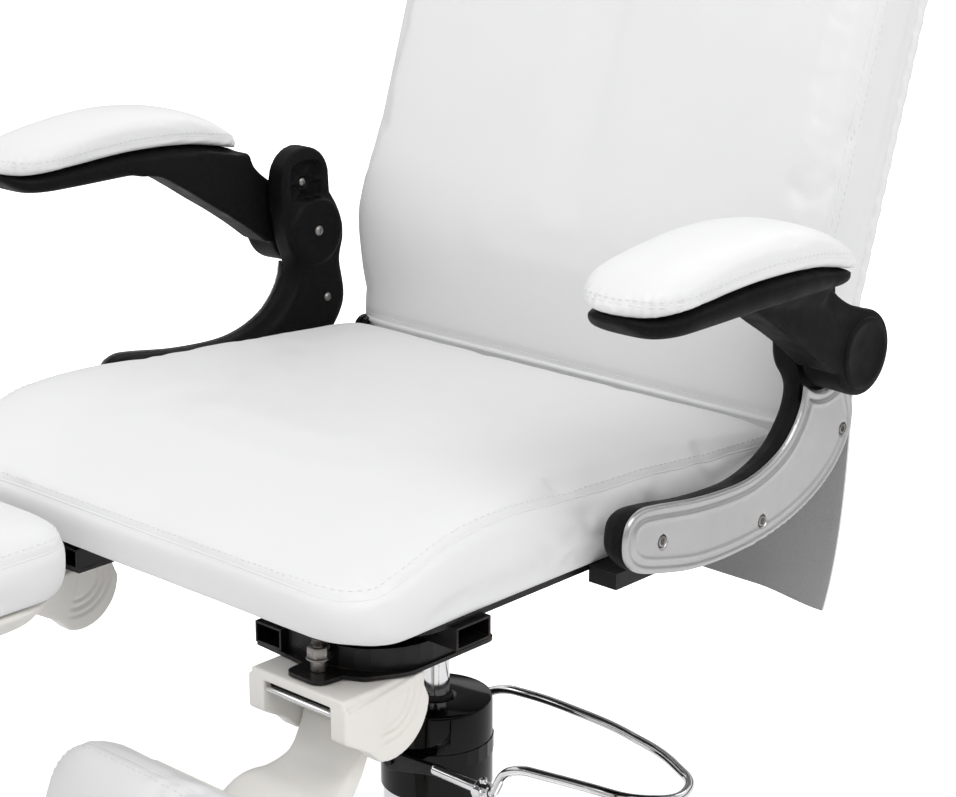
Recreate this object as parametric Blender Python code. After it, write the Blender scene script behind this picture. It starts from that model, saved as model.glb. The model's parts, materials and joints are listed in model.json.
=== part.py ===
"""Hydraulic pedicure and styling chair with folding armrests and two separate leg rests.

Metres, +Z up. The sitter faces -Y, +X is the sitter's left. The origin is on the floor, on the
axis of the lifting column. Each moving group hangs on an empty that stands on its joint.
"""
import bmesh
import bpy
from math import cos, pi, radians, sin
from mathutils import Matrix, Vector

# ---- driving dimensions ----
BASE_RADIUS = 0.300
SLEEVE_RADIUS = 0.0465
COVER_RADIUS = 0.049
COVER_BOTTOM = 0.300
COVER_TOP = 0.380
ROD_RADIUS = 0.0117
ROD_BOTTOM = 0.150
ROD_TOP = 0.552

PEDAL_PIVOT = (0.0, 0.0, 0.338)
PEDAL_BAR_RADIUS = 0.0048
PEDAL_ROD_RADIUS = 0.0040
BAND_RADIUS = 0.0502
TRUNNION_RADIUS = 0.0042
TRUNNION_END = 0.0605
HOOP_EYE_Y = 0.0572
HOOP = ((0.1112, -0.0555, 0.3455), (0.1180, -0.0555, 0.3460), (0.1290, -0.0557, 0.3680), (0.1490, -0.0565, 0.3780),
        (0.2210, -0.0560, 0.3860), (0.2600, -0.0515, 0.3870), (0.2860, -0.0250, 0.3860), (0.2740, 0.0080, 0.3850),
        (0.2220, 0.0360, 0.3835), (0.1540, 0.0510, 0.3825), (0.0770, 0.0560, 0.3805), (0.0300, 0.0572, 0.3760),
        (0.0040, 0.0572, 0.3640), (0.0, 0.0572, 0.3440))
PEDAL_ARM_Y = 0.0555

PLATE_BOTTOM = 0.550
PLATE_THICK = 0.003
SIDE_TUBE_BOTTOM = 0.5533
SIDE_TUBE_TOP = 0.5697
CROSS_TUBE_BOTTOM = 0.5700
CROSS_TUBE_TOP = 0.5870
BOARD_BOTTOM = 0.5873
BOARD_TOP = 0.5920
BOARD_FRONT = -0.279
TUBE_WALL = 0.0016
FRAME_FRONT = -0.298
FRAME_REAR = 0.135

SEAT_HALF_WIDTH = 0.254
SEAT_FRONT = -0.346
SEAT_REAR = 0.135
SEAT_TOP = 0.667

BACK_PIVOT = (0.0, 0.165, 0.630)
BACK_LEAN = radians(17.75)
BACK_HALF_WIDTH = 0.249
BACK_LENGTH = 0.740
BACK_FRONT = 0.034
BACK_REAR = -0.0430
PANEL_THICK = 0.012

HUB_Y = 0.127
HUB_Z = 0.727
HUB_RADIUS = 0.033
ARM_CENTRE = 0.340
BRACKET_INNER = 0.2750
BRACKET_OUTER = 0.2955
COVER_OUTER = 0.3035
ARM_INNER = 0.2985
ARM_OUTER = 0.3350

LEG_X = 0.175
LEG_BOLT_Y = -0.302
LEG_PITCH_Y = -0.282
LEG_PITCH_Z = 0.529
LEG_HOUSING_HALF = 0.050
LEG_CHEEK = 0.0155
LEG_INNER = 0.010
LEG_OUTER = 0.255
LEG_KNEE = -0.362
LEG_TOE = -0.802
LEG_DROP_LEFT = radians(68)

SPRING_ANCHOR = (0.0, -0.125, 0.572)
SPRING_EYE = (0.0, 0.205, 0.5775)
SPRING_BODY_LENGTH = 0.185
SPRING_BODY_RADIUS = 0.0075
SPRING_ROD_RADIUS = 0.0040
LEVER_PIVOT = (-0.236, 0.060, 0.577)

ROUND_STEPS = 24
HOLE_STEPS = 12
BASE_STEPS = 36


# ---- scene, materials and joints ----
def clear_scene():
    for old in list(bpy.data.objects):
        bpy.data.objects.remove(old, do_unlink=True)


def material(name, colour, roughness, metallic=0.0):
    mat = bpy.data.materials.new(name)
    mat.use_nodes = True
    shader = mat.node_tree.nodes["Principled BSDF"]
    shader.inputs["Base Color"].default_value = (*colour, 1.0)
    shader.inputs["Roughness"].default_value = roughness
    shader.inputs["Metallic"].default_value = metallic
    return mat


def leatherette():
    return material("white_leatherette", (0.86, 0.86, 0.86), 0.55)


def black_paint():
    return material("black_paint", (0.012, 0.012, 0.013), 0.35)


def black_gloss():
    return material("black_gloss", (0.006, 0.006, 0.007), 0.08)


def black_plastic():
    return material("black_plastic", (0.02, 0.02, 0.021), 0.5)


def ivory_plastic():
    return material("ivory_plastic", (0.84, 0.82, 0.78), 0.4)


def silver_paint():
    return material("silver_paint", (0.62, 0.62, 0.64), 0.35, 0.6)


def chrome():
    return material("chrome", (0.78, 0.78, 0.79), 0.08, 1.0)


def steel():
    return material("steel", (0.55, 0.54, 0.52), 0.25, 1.0)


def rubber():
    return material("rubber", (0.02, 0.02, 0.02), 0.8)


class Joint:
    """An empty on a joint's axis, with its place in the world at rest before any turn."""

    def __init__(self, name, pivot, parent=None, turn_x=0.0):
        self.pivot = Vector(pivot)
        self.empty = bpy.data.objects.new(name, None)
        bpy.context.collection.objects.link(self.empty)
        base = parent.pivot if parent else Vector((0, 0, 0))
        self.empty.location = self.pivot - base
        self.empty.rotation_euler = (turn_x, 0, 0)
        if parent:
            self.empty.parent = parent.empty

    def hold(self, obj):
        obj.data.transform(Matrix.Translation(-self.pivot))
        obj.parent = self.empty
        return obj


# ---- shape helpers ----
def finish_mesh(name, bm, mat, joint, smooth=True):
    bmesh.ops.recalc_face_normals(bm, faces=bm.faces)
    mesh = bpy.data.meshes.new(name)
    bm.to_mesh(mesh)
    bm.free()
    if smooth:
        mesh.shade_smooth()
        mesh.set_sharp_from_angle(angle=radians(35))
    obj = bpy.data.objects.new(name, mesh)
    bpy.context.collection.objects.link(obj)
    if mat:
        mesh.materials.append(mat)
    return joint.hold(obj)


def rounded(points, steps=5):
    """Round each corner (a, b, radius) of a closed outline; a corner without a radius stays sharp."""
    out = []
    count = len(points)
    for i, corner in enumerate(points):
        here = Vector(corner[:2])
        radius = corner[2] if len(corner) > 2 else 0.0
        if radius <= 0:
            out.append(here)
            continue
        back = (Vector(points[i - 1][:2]) - here)
        ahead = (Vector(points[(i + 1) % count][:2]) - here)
        half = back.angle(ahead) / 2
        reach = min(radius / abs(sin(half) / cos(half)), back.length * 0.48, ahead.length * 0.48)
        start = here + back.normalized() * reach
        end = here + ahead.normalized() * reach
        for k in range(steps + 1):
            t = k / steps
            out.append(start * (1 - t) ** 2 + here * 2 * t * (1 - t) + end * t ** 2)
    return out


def arc(centre, radius, first, last, steps):
    """Points on a circle from one angle to another, in degrees."""
    points = []
    for k in range(steps + 1):
        angle = radians(first + (last - first) * k / steps)
        points.append(Vector((centre[0] + radius * cos(angle), centre[1] + radius * sin(angle))))
    return points


def lift_point(point, axis, height):
    """Put an outline's point in space: outlines are (y, z) for x, (x, z) for y, (x, y) for z."""
    a, b = point[0], point[1]
    return {"x": (height, a, b), "y": (a, height, b), "z": (a, b, height)}[axis]


def prism(name, outline, axis, low, high, mat, joint, bevel=0.0, segments=2, smooth=True):
    bm = bmesh.new()
    face = bm.faces.new([bm.verts.new(lift_point(p, axis, low)) for p in outline])
    grown = bmesh.ops.extrude_face_region(bm, geom=[face])
    moved = [g for g in grown["geom"] if isinstance(g, bmesh.types.BMVert)]
    step = Vector(lift_point((0, 0), axis, high - low))
    bmesh.ops.translate(bm, verts=moved, vec=step)
    obj = finish_mesh(name, bm, mat, joint, smooth)
    if bevel > 0:
        soften(obj, bevel, segments)
    return obj


def soften(obj, width, segments=2):
    mod = obj.modifiers.new("edge", "BEVEL")
    mod.width = width
    mod.segments = segments
    mod.limit_method = "ANGLE"
    mod.angle_limit = radians(50)


def box(name, low, high, mat, joint, bevel=0.0, segments=2):
    outline = [(low[0], low[1]), (high[0], low[1]), (high[0], high[1]), (low[0], high[1])]
    return prism(name, outline, "z", low[2], high[2], mat, joint, bevel, segments, smooth=False)


def turned(name, profile, mat, joint, centre=(0, 0, 0), axis="z", steps=ROUND_STEPS):
    """Spin a closed profile of (radius, height) points about an axis through the centre."""
    bm = bmesh.new()
    verts = [bm.verts.new((r, 0, h)) for r, h in profile]
    edges = [bm.edges.new((verts[i - 1], verts[i])) for i in range(len(verts))]
    bmesh.ops.spin(bm, geom=verts + edges, cent=(0, 0, 0), axis=(0, 0, 1), angle=2 * pi,
                   steps=steps, use_merge=True, use_duplicate=False)
    bmesh.ops.remove_doubles(bm, verts=bm.verts, dist=1e-6)
    turn = {"z": Matrix(), "x": Matrix.Rotation(pi / 2, 4, "Y"), "y": Matrix.Rotation(-pi / 2, 4, "X")}[axis]
    bmesh.ops.transform(bm, matrix=Matrix.Translation(centre) @ turn, verts=bm.verts)
    return finish_mesh(name, bm, mat, joint)


def ring_profile(inner, outer, low, high, chamfer=0.0):
    c = chamfer
    if c <= 0:
        return [(inner, low), (outer, low), (outer, high), (inner, high)]
    return [(inner, low), (outer - c, low), (outer, low + c), (outer, high - c), (outer - c, high), (inner, high)]


def solid_profile(radius, low, high, chamfer=0.0):
    return ring_profile(0.0, radius, low, high, chamfer)


def cut(target, cutter):
    """Take a hidden cutter's volume out of a piece."""
    cutter.hide_render = True
    cutter.display_type = "WIRE"
    mod = target.modifiers.new("cut", "BOOLEAN")
    mod.operation = "DIFFERENCE"
    mod.solver = "EXACT"
    mod.object = cutter


def weld(target, extra):
    """Join a hidden helper's volume to a piece."""
    extra.hide_render = True
    extra.display_type = "WIRE"
    mod = target.modifiers.new("weld", "BOOLEAN")
    mod.operation = "UNION"
    mod.solver = "EXACT"
    mod.object = extra


def drill(target, joint, axis, spot, radius, low, high, steps=HOLE_STEPS):
    """Round hole along an axis; spot is in the outline plane of that axis."""
    outline = arc(spot, radius, 0, 360 - 360 / steps, steps - 1)
    cut(target, prism(target.name + "_drill", outline, axis, low, high, None, joint))


def hollow_tube(name, axis, low2, high2, start, end, mat, joint):
    """Rectangular tube, open at both ends."""
    outer = [(low2[0], low2[1]), (high2[0], low2[1]), (high2[0], high2[1]), (low2[0], high2[1])]
    w = TUBE_WALL
    inner = [(low2[0] + w, low2[1] + w), (high2[0] - w, low2[1] + w),
             (high2[0] - w, high2[1] - w), (low2[0] + w, high2[1] - w)]
    tube = prism(name, outer, axis, start, end, mat, joint, smooth=False)
    spare = 0.01
    cut(tube, prism(name + "_bore", inner, axis, start - spare, end + spare, None, joint))
    return tube


def rod_path(name, points, radius, corner, mat, joint, closed=False):
    """Round rod bent along corner points, each corner rounded."""
    path = []
    last = len(points) - 1
    for i, spot in enumerate(points):
        here = Vector(spot)
        if i in (0, last) and not closed:
            path.append(here)
            continue
        back = Vector(points[i - 1]) - here
        ahead = Vector(points[(i + 1) % len(points)]) - here
        reach = min(corner, back.length * 0.45, ahead.length * 0.45)
        start = here + back.normalized() * reach
        end = here + ahead.normalized() * reach
        for k in range(7):
            t = k / 6
            path.append(start * (1 - t) ** 2 + here * 2 * t * (1 - t) + end * t ** 2)
    curve = bpy.data.curves.new(name, "CURVE")
    curve.dimensions = "3D"
    curve.bevel_depth = radius
    curve.bevel_resolution = 1
    curve.use_fill_caps = True
    spline = curve.splines.new("POLY")
    spline.points.add(len(path) - 1)
    for point, place in zip(spline.points, path):
        point.co = (*place, 1.0)
    swept = bpy.data.meshes.new_from_object(bpy.data.objects.new(name + "_path", curve))
    bm = bmesh.new()
    bm.from_mesh(swept)
    bmesh.ops.remove_doubles(bm, verts=bm.verts, dist=1e-6)
    return finish_mesh(name, bm, mat, joint)


def side_name(stem, side):
    return stem + ("_left" if side > 0 else "_right")


def span(side, near, far):
    """Ordered limits along X for the left (+1) or right (-1) copy."""
    return (near, far) if side > 0 else (-far, -near)


# ---- base and hydraulic column ----
def base(root):
    disc = [(0.0, 0.0), (0.2600, 0.0), (0.2600, 0.0060), (0.294, 0.0060), (BASE_RADIUS, 0.0080),
            (BASE_RADIUS, 0.0105), (0.293, 0.0145), (0.240, 0.0205), (0.150, 0.0268), (0.0, 0.0305)]
    turned("base_disc", disc, chrome(), root, steps=BASE_STEPS)
    ring = [(0.262, 0.0), (0.290, 0.0), (0.296, 0.0020), (0.296, 0.0056), (0.262, 0.0056)]
    turned("base_ring", ring, rubber(), root, steps=BASE_STEPS)


def pump(root):
    sleeve = [(0.0435, 0.0310), (0.0760, 0.0310), (0.0760, 0.0345), (0.0560, 0.0390),
              (SLEEVE_RADIUS, 0.0460), (SLEEVE_RADIUS, COVER_BOTTOM - 0.0003), (0.0435, COVER_BOTTOM - 0.0003)]
    turned("pump_sleeve", sleeve, chrome(), root)
    cover = [(COVER_RADIUS - 0.002, COVER_BOTTOM), (COVER_RADIUS, COVER_BOTTOM),
             (COVER_RADIUS, COVER_TOP - 0.002), (COVER_RADIUS - 0.002, COVER_TOP), (0.0150, COVER_TOP),
             (0.0150, COVER_TOP - 0.003), (COVER_RADIUS - 0.002, COVER_TOP - 0.003)]
    turned("pump_cover", cover, black_gloss(), root)
    turned("rod_seal", ring_profile(ROD_RADIUS + 0.0003, 0.0146, 0.3710, 0.3825, 0.001), rubber(), root)
    cylinder = [(0.0, 0.0320), (0.0300, 0.0320), (0.0300, 0.3640), (0.0125, 0.3640), (0.0125, 0.0380),
                (0.0, 0.0380)]
    turned("pump_cylinder", cylinder, steel(), root)
    band = ring_profile(COVER_RADIUS + 0.0003, BAND_RADIUS, 0.3310, 0.3450, 0.0002)
    bracket = turned("pedal_bracket", band, black_gloss(), root)
    for side in (1, -1):
        low, high = span(side, BAND_RADIUS - 0.0004, TRUNNION_END)
        stud = arc((PEDAL_PIVOT[0], PEDAL_PIVOT[2]), TRUNNION_RADIUS, 0, 330, 11)
        weld(bracket, prism(f"pedal_trunnion_{side}", stud, "y", low, high, None, root))


def pedal(joint):
    """Lever on the front trunnion, and the hoop clamped in it that ends in an eye on the rear one."""
    x, y, z = PEDAL_PIVOT
    arm = PEDAL_ARM_Y
    lever_z = z + 0.0075
    rod = solid_profile(PEDAL_BAR_RADIUS, 0.050, 0.1105, 0.0012)
    yoke = turned("pedal_yoke", rod, steel(), joint, (0.0, -arm, lever_z), "x", HOLE_STEPS)
    flat = arc((x, z), 0.0095, 60, 300, 12) + [Vector((0.056, lever_z - 0.0042)), Vector((0.056, lever_z + 0.0042))]
    weld(yoke, prism("pedal_lever_flat", flat, "y", -arm - 0.0028, -arm + 0.0024, None, joint))
    drill(yoke, joint, "y", (x, z), TRUNNION_RADIUS + 0.0003, -0.07, -0.045)
    loop = rod_path("pedal_loop", HOOP, PEDAL_ROD_RADIUS, 0.020, chrome(), joint)
    eye = arc((x, z), 0.0095, 0, 345, 23)
    weld(loop, prism("pedal_hoop_eye", eye, "y", HOOP_EYE_Y - 0.0030, HOOP_EYE_Y + 0.0030, None, joint))
    drill(loop, joint, "y", (x, z), TRUNNION_RADIUS + 0.0003, 0.045, 0.07)


def column(lift):
    turned("piston_rod", solid_profile(ROD_RADIUS, ROD_BOTTOM, ROD_TOP, 0.001), chrome(), lift)


# ---- seat frame ----
def seat_frame(seat):
    paint = black_paint()
    socket = [(ROD_RADIUS + 0.0003, 0.5240), (0.0215, 0.5240), (0.0230, 0.5255), (0.0230, 0.5440),
              (0.0480, 0.5495), (0.0480, 0.5552), (0.0, 0.5552), (0.0, 0.5526), (ROD_RADIUS + 0.0003, 0.5526)]
    turned("column_socket", socket, paint, seat)
    box("mast_plate", (-0.1040, -0.137, 0.5555), (0.1040, 0.095, 0.5600), paint, seat)
    for side in (1, -1):
        low, high = span(side, 0.1043, 0.1313)
        hollow_tube(side_name("frame_tube", side), "y", (low, SIDE_TUBE_BOTTOM), (high, SIDE_TUBE_TOP),
                    FRAME_FRONT, FRAME_REAR, paint, seat)
        near, far = span(side, 0.1043, 0.2477)
        hollow_tube(side_name("rear_cross_tube", side), "x", (0.100, CROSS_TUBE_BOTTOM),
                    (0.1347, CROSS_TUBE_TOP), near, far, paint, seat)
        leg_plate(seat, side, paint)
        hinge_ear(seat, side, paint)
    hollow_tube("front_cross_tube", "x", (-0.2410, CROSS_TUBE_BOTTOM), (-0.2060, CROSS_TUBE_TOP),
                -0.2515, 0.2515, paint, seat)
    board = rounded([(-0.2465, BOARD_FRONT, 0.03), (0.2465, BOARD_FRONT, 0.03), (0.2465, SEAT_REAR - 0.001, 0.02),
                     (-0.2465, SEAT_REAR - 0.001, 0.02)])
    prism("seat_board", board, "z", BOARD_BOTTOM, BOARD_TOP, paint, seat, smooth=False)


def leg_plate(seat, side, paint):
    """Corner plate with a raised rim along its curved front, and the lug for the leg rest's bolt."""
    plan = [(0.1040, -0.2965), (0.1420, -0.2990), (0.157, -0.301), (0.157, -0.319, 0.012), (0.192, -0.319, 0.012),
            (0.195, -0.2975), (0.2090, -0.2900, 0.01), (0.2255, -0.262, 0.03), (0.2255, -0.170, 0.01),
            (0.1040, -0.170)]
    plan = [(side * p[0], *p[1:]) for p in plan]
    plate = prism(side_name("leg_plate", side), rounded(plan), "z", PLATE_BOTTOM, PLATE_BOTTOM + PLATE_THICK,
                  paint, seat, smooth=False)
    bend = (0.168, -0.236)
    outer = [Vector((0.1330, -0.2920))] + arc(bend, 0.0555, -100, 0, 8) + [Vector((0.2235, -0.175))]
    inner = [Vector((0.2210, -0.175))] + arc(bend, 0.0530, 0, -100, 8) + [Vector((0.1330, -0.2890))]
    rim_plan = [(side * p.x, p.y) for p in outer + inner]
    rim = prism(plate.name + "_rim", rim_plan, "z", PLATE_BOTTOM + 0.001, SIDE_TUBE_TOP - 0.0002, None, seat)
    weld(plate, rim)
    drill(plate, seat, "z", (side * LEG_X, LEG_BOLT_Y), 0.0054, 0.54, 0.556)


def hinge_ear(seat, side, paint):
    y, z = BACK_PIVOT[1:]
    outline = [Vector((0.100, 0.5705)), Vector((0.160, 0.5705)), Vector((0.178, 0.612))]
    outline += arc((y, z), 0.0135, -10, 170, 10)
    outline += [Vector((0.1435, 0.5900)), Vector((0.140, 0.5868)), Vector((0.100, 0.5868))]
    low, high = span(side, 0.2480, 0.2520)
    ear = prism(side_name("hinge_ear", side), outline, "x", low, high, paint, seat)
    drill(ear, seat, "x", (y, z), 0.0044, low - 0.01, high + 0.01)


def leg_bolts(seat):
    """Bolt, standing on its low head inside the housing, with the nut run down onto the plate."""
    for side in (1, -1):
        centre = (side * LEG_X, LEG_BOLT_Y, 0)
        shank = [(0.0, 0.5362), (0.0080, 0.5362), (0.0088, 0.5370), (0.0088, 0.5409), (0.0050, 0.5409),
                 (0.0050, 0.5534), (0.0078, 0.5534), (0.0078, 0.5640), (0.0060, 0.5640), (0.0060, 0.5775),
                 (0.0, 0.5775)]
        bolt = turned(side_name("leg_pivot_bolt", side), shank, steel(), seat, centre, steps=HOLE_STEPS)
        hexagon = arc(centre[:2], 0.0108, 0, 300, 5)
        nut = prism(bolt.name + "_nut", hexagon, "z", 0.5630, 0.5730, None, seat)
        weld(bolt, nut)


def seat_cushion(seat):
    w, r = SEAT_HALF_WIDTH, SEAT_REAR
    plan = rounded([(-w, SEAT_FRONT, 0.05), (w, SEAT_FRONT, 0.05), (w, r, 0.03), (-w, r, 0.03)], 6)
    cushion = prism("seat_cushion", plan, "z", BOARD_TOP + 0.0003, SEAT_TOP, leatherette(), seat)
    over = [(-0.40, 0.632), (-0.350, 0.632, 0.02), (-0.332, 0.6440, 0.03), (-0.285, 0.6530, 0.05),
            (-0.215, 0.6660, 0.08), (-0.120, 0.6640, 0.05), (0.040, 0.6570, 0.05), (0.118, 0.6490, 0.02),
            (0.138, 0.6330, 0.01), (0.180, 0.6330), (0.180, 0.700), (-0.40, 0.700)]
    cut(cushion, prism("seat_crown", rounded(over, 4), "x", -0.30, 0.30, None, seat))
    under = [(-0.40, 0.560), (-0.290, 0.560), (-0.290, 0.5920), (-0.335, 0.6000, 0.01), (-0.352, 0.6120),
             (-0.40, 0.6120)]
    cut(cushion, prism("seat_front_wrap", rounded(under, 4), "x", -0.30, 0.30, None, seat))


# ---- armrests ----
def bracket_outline():
    """Side outline (y, z) of the moulded carrier: foot, rising neck, hub and the tab over it."""
    foot = [(0.151, 0.752), (0.160, 0.704), (0.173, 0.672, 0.02), (0.173, 0.648, 0.02), (0.140, 0.622),
            (0.104, 0.586, 0.04), (-0.026, 0.584, 0.04), (-0.112, 0.598, 0.03), (-0.114, 0.652, 0.03),
            (0.010, 0.636, 0.05), (0.078, 0.650, 0.05), (0.108, 0.692)]
    low = rounded(foot, 4)
    hub = arc((HUB_Y, HUB_Z), HUB_RADIUS, 230, 160, 4)
    tab = [Vector((0.0880, 0.778))] + arc((0.1165, 0.778), 0.0285, 180, 10, 9) + [Vector((0.1465, 0.760))]
    return low + hub + tab


def cover_outline():
    """Side outline (y, z) of the silver cover on the carrier's outer face."""
    shape = [(0.108, 0.6915), (0.166, 0.6890), (0.171, 0.668, 0.02), (0.171, 0.645, 0.02), (0.145, 0.634),
             (0.103, 0.589, 0.05), (-0.026, 0.589, 0.05), (-0.104, 0.604, 0.032), (-0.104, 0.6440, 0.032),
             (0.022, 0.630, 0.05), (0.080, 0.640, 0.05), (0.106, 0.664, 0.02)]
    return rounded(shape, 4)


def arm_carrier(seat, side):
    low, high = span(side, BRACKET_INNER, BRACKET_OUTER)
    carrier = prism(side_name("arm_bracket", side), bracket_outline(), "x", low, high, black_plastic(), seat,
                    0.003, 1)
    near, far = span(side, BRACKET_INNER - 0.004, BRACKET_INNER + 0.008)
    recess = rounded([(0.103, 0.766, 0.008), (0.133, 0.766, 0.008), (0.133, 0.796, 0.012), (0.103, 0.796, 0.012)])
    cut(carrier, prism(carrier.name + "_recess", recess, "x", near, far, None, seat))
    low, high = span(side, BRACKET_OUTER + 0.0003, COVER_OUTER)
    cover = prism(side_name("arm_bracket_cover", side), cover_outline(), "x", low, high, silver_paint(), seat,
                  0.002, 1)
    for spot in ((0.154, 0.652), (0.049, 0.602), (-0.075, 0.6195)):
        drill(cover, seat, "x", spot, 0.0052, low - 0.01, high + 0.01, 12)
    low, high = span(side, 0.2483, BRACKET_INNER - 0.0003)
    block = [(-0.094, 0.5790), (0.020, 0.5790), (0.026, 0.5830), (0.026, 0.5915), (-0.094, 0.5915)]
    prism(side_name("arm_mount_block", side), block, "x", low, high, black_paint(), seat, smooth=False)


def arm_body(arm, side):
    """Moulded arm: hub, rising web and the shallow tray that carries the pad."""
    web = [(-0.034, 0.7995, 0.02), (-0.040, 0.8190), (0.030, 0.8140), (0.066, 0.8030), (0.072, 0.7900, 0.01),
           (0.090, 0.7785, 0.02), (0.112, 0.7670)]
    outline = rounded(web, 4) + arc((HUB_Y, HUB_Z), HUB_RADIUS, 95, -170, 16)
    low, high = span(side, ARM_INNER + 0.0055, ARM_OUTER)
    body = prism(side_name("arm_body", side), outline, "x", low, high, black_plastic(), arm)
    deck = rounded([(-0.034, 0.8020, 0.02), (-0.135, 0.8010, 0.02), (-0.172, 0.8025, 0.01), (-0.188, 0.8175),
                    (-0.168, 0.8170, 0.01), (-0.060, 0.8210, 0.02), (-0.023, 0.8200), (0.035, 0.8140), (0.070, 0.8035), (0.060, 0.7960),
                    (0.020, 0.7965, 0.02)], 3)
    low, high = span(side, ARM_CENTRE - 0.0385, ARM_CENTRE + 0.0385)
    weld(body, prism(body.name + "_deck", deck, "x", low, high, None, arm))
    drill(body, arm, "x", (HUB_Y, HUB_Z), 0.0065, -0.4, 0.4)


def arm_pad(arm, side):
    profile = [(-0.193, 0.8200), (-0.168, 0.8175, 0.01), (-0.060, 0.8215, 0.02), (-0.023, 0.8205), (0.035, 0.8145), (0.074, 0.8035),
               (0.080, 0.8090, 0.004), (0.045, 0.8340, 0.04), (-0.015, 0.8530, 0.05), (-0.080, 0.8600, 0.05),
               (-0.158, 0.8490, 0.04), (-0.193, 0.8300, 0.006)]
    low, high = span(side, ARM_CENTRE - 0.043, ARM_CENTRE + 0.043)
    prism(side_name("arm_pad", side), rounded(profile, 4), "x", low, high, leatherette(), arm, 0.010, 2)


def hub_pin(arm, side):
    """Pivot screw in the hub with the round cap on the outside."""
    centre = (0, HUB_Y, HUB_Z)
    face = ARM_OUTER + 0.0003
    profile = [(0.0, 0.2958), (0.0060, 0.2958), (0.0060, face), (0.0290, face), (0.0290, face + 0.0012),
               (0.0265, face + 0.0030), (0.0, face + 0.0030)]
    profile = [(r, side * h) for r, h in profile]
    turned(side_name("hub_pin", side), profile, black_plastic(), arm, centre, "x", 24)


def armrest(arm, side):
    arm_body(arm, side)
    arm_pad(arm, side)
    hub_pin(arm, side)


# ---- leg rests ----
def leg_housing(swing, side):
    """Fork with D-shaped cheeks, a roof under the corner plate and a window at the front."""
    profile = [(-0.325, 0.5495, 0.004), (-0.325, 0.518, 0.004), (-0.302, 0.5045, 0.01)]
    low_curve = arc((LEG_PITCH_Y + 0.003, LEG_PITCH_Z), 0.0375, 250, 358, 9)
    top = [Vector((-0.246, 0.5385)), Vector((-0.246, 0.5495))]
    outline = rounded(profile + [tuple(low_curve[0])], 3)[:-1] + low_curve + top
    low, high = span(side, LEG_X - LEG_HOUSING_HALF, LEG_X + LEG_HOUSING_HALF)
    housing = prism(side_name("leg_housing", side), outline, "x", low, high, ivory_plastic(), swing)
    low, high = span(side, LEG_X - LEG_HOUSING_HALF + LEG_CHEEK, LEG_X + LEG_HOUSING_HALF - LEG_CHEEK)
    mouth = [(-0.345, 0.470), (-0.200, 0.470), (-0.200, 0.5413), (-0.345, 0.5413)]
    cut(housing, prism(housing.name + "_mouth", mouth, "x", low, high, None, swing))
    drill(housing, swing, "z", (side * LEG_X, LEG_BOLT_Y), 0.0054, 0.535, 0.56)
    low, high = span(side, LEG_X - LEG_HOUSING_HALF + 0.006, LEG_X + LEG_HOUSING_HALF - 0.006)
    drill(housing, swing, "x", (LEG_PITCH_Y, LEG_PITCH_Z), 0.0044, low, high)


def leg_pin(swing, side):
    reach = LEG_HOUSING_HALF - 0.0063
    turned(side_name("leg_pitch_pin", side), solid_profile(0.0040, -reach, reach), steel(), swing,
           (side * LEG_X, LEG_PITCH_Y, LEG_PITCH_Z), "x", 12)


def leg_bar(pitch, side):
    """Black steel bar with the knuckle on the pitch pin; it runs out under the tray."""
    centre = (LEG_PITCH_Y, LEG_PITCH_Z)
    outline = arc(centre, 0.0110, 150, -120, 14)
    outline += [Vector((-0.330, 0.4990)), Vector((-0.400, 0.5240)), Vector((-0.690, 0.5480)),
                Vector((-0.690, 0.5530)), Vector((-0.400, 0.5290)), Vector((-0.330, 0.5040)),
                Vector((-0.2965, 0.5120))]
    low, high = span(side, LEG_X - 0.0115, LEG_X + 0.0115)
    bar = prism(side_name("leg_bar", side), outline, "x", low, high, black_paint(), pitch)
    drill(bar, pitch, "x", centre, 0.0044, low - 0.01, high + 0.01, 12)


def leg_tray(pitch, side):
    """White shell under the cushion with the neck that reaches into the housing."""
    neck = [(-0.2990, 0.5290), (-0.335, 0.5300), (-0.350, 0.540, 0.012), (-0.362, 0.577), (-0.470, 0.577),
            (-0.470, 0.560), (-0.400, 0.5420, 0.03), (-0.330, 0.5150, 0.02), (-0.2985, 0.5175)]
    low, high = span(side, LEG_X - 0.0335, LEG_X + 0.0335)
    tray = prism(side_name("leg_tray", side), rounded(neck, 4), "x", low, high, ivory_plastic(), pitch)
    shell = [(LEG_KNEE - 0.0005, 0.5785), (LEG_KNEE - 0.0005, 0.560, 0.008), (-0.400, 0.5560), (-0.760, 0.5560),
             (LEG_TOE + 0.002, 0.565, 0.008), (LEG_TOE + 0.002, 0.5785)]
    low, high = span(side, LEG_INNER + 0.003, LEG_OUTER - 0.003)
    weld(tray, prism(tray.name + "_shell", rounded(shell, 3), "x", low, high, None, pitch))


def leg_cushion(pitch, side):
    low, high = span(side, LEG_INNER, LEG_OUTER)
    plan = [(low, LEG_KNEE, 0.035), (high, LEG_KNEE, 0.035), (high, LEG_TOE, 0.05), (low, LEG_TOE, 0.05)]
    prism(side_name("leg_cushion", side), rounded(plan, 5), "z", 0.5788, 0.6380, leatherette(), pitch, 0.012, 2)


# ---- backrest ----
def back_point(n, u):
    """World (y, z) of a point n in front of the pivot plane and u up along the leaning back."""
    return (BACK_PIVOT[1] - n * cos(BACK_LEAN) + u * sin(BACK_LEAN),
            BACK_PIVOT[2] + n * sin(BACK_LEAN) + u * cos(BACK_LEAN))


def lean_over(obj):
    """Tip a piece modelled upright about the pivot into the back's rest angle."""
    obj.data.transform(Matrix.Rotation(-BACK_LEAN, 4, "X"))
    return obj


def back_slab(name, half, low, high, front, rear, corner, joint, bevel):
    y, z = BACK_PIVOT[1:]
    plan = rounded([(-half, z + low, corner), (half, z + low, corner), (half, z + high, corner),
                    (-half, z + high, corner)], 6)
    slab = prism(name, plan, "y", y - front, y - rear, leatherette(), joint, bevel, 2)
    return lean_over(slab)


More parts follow.
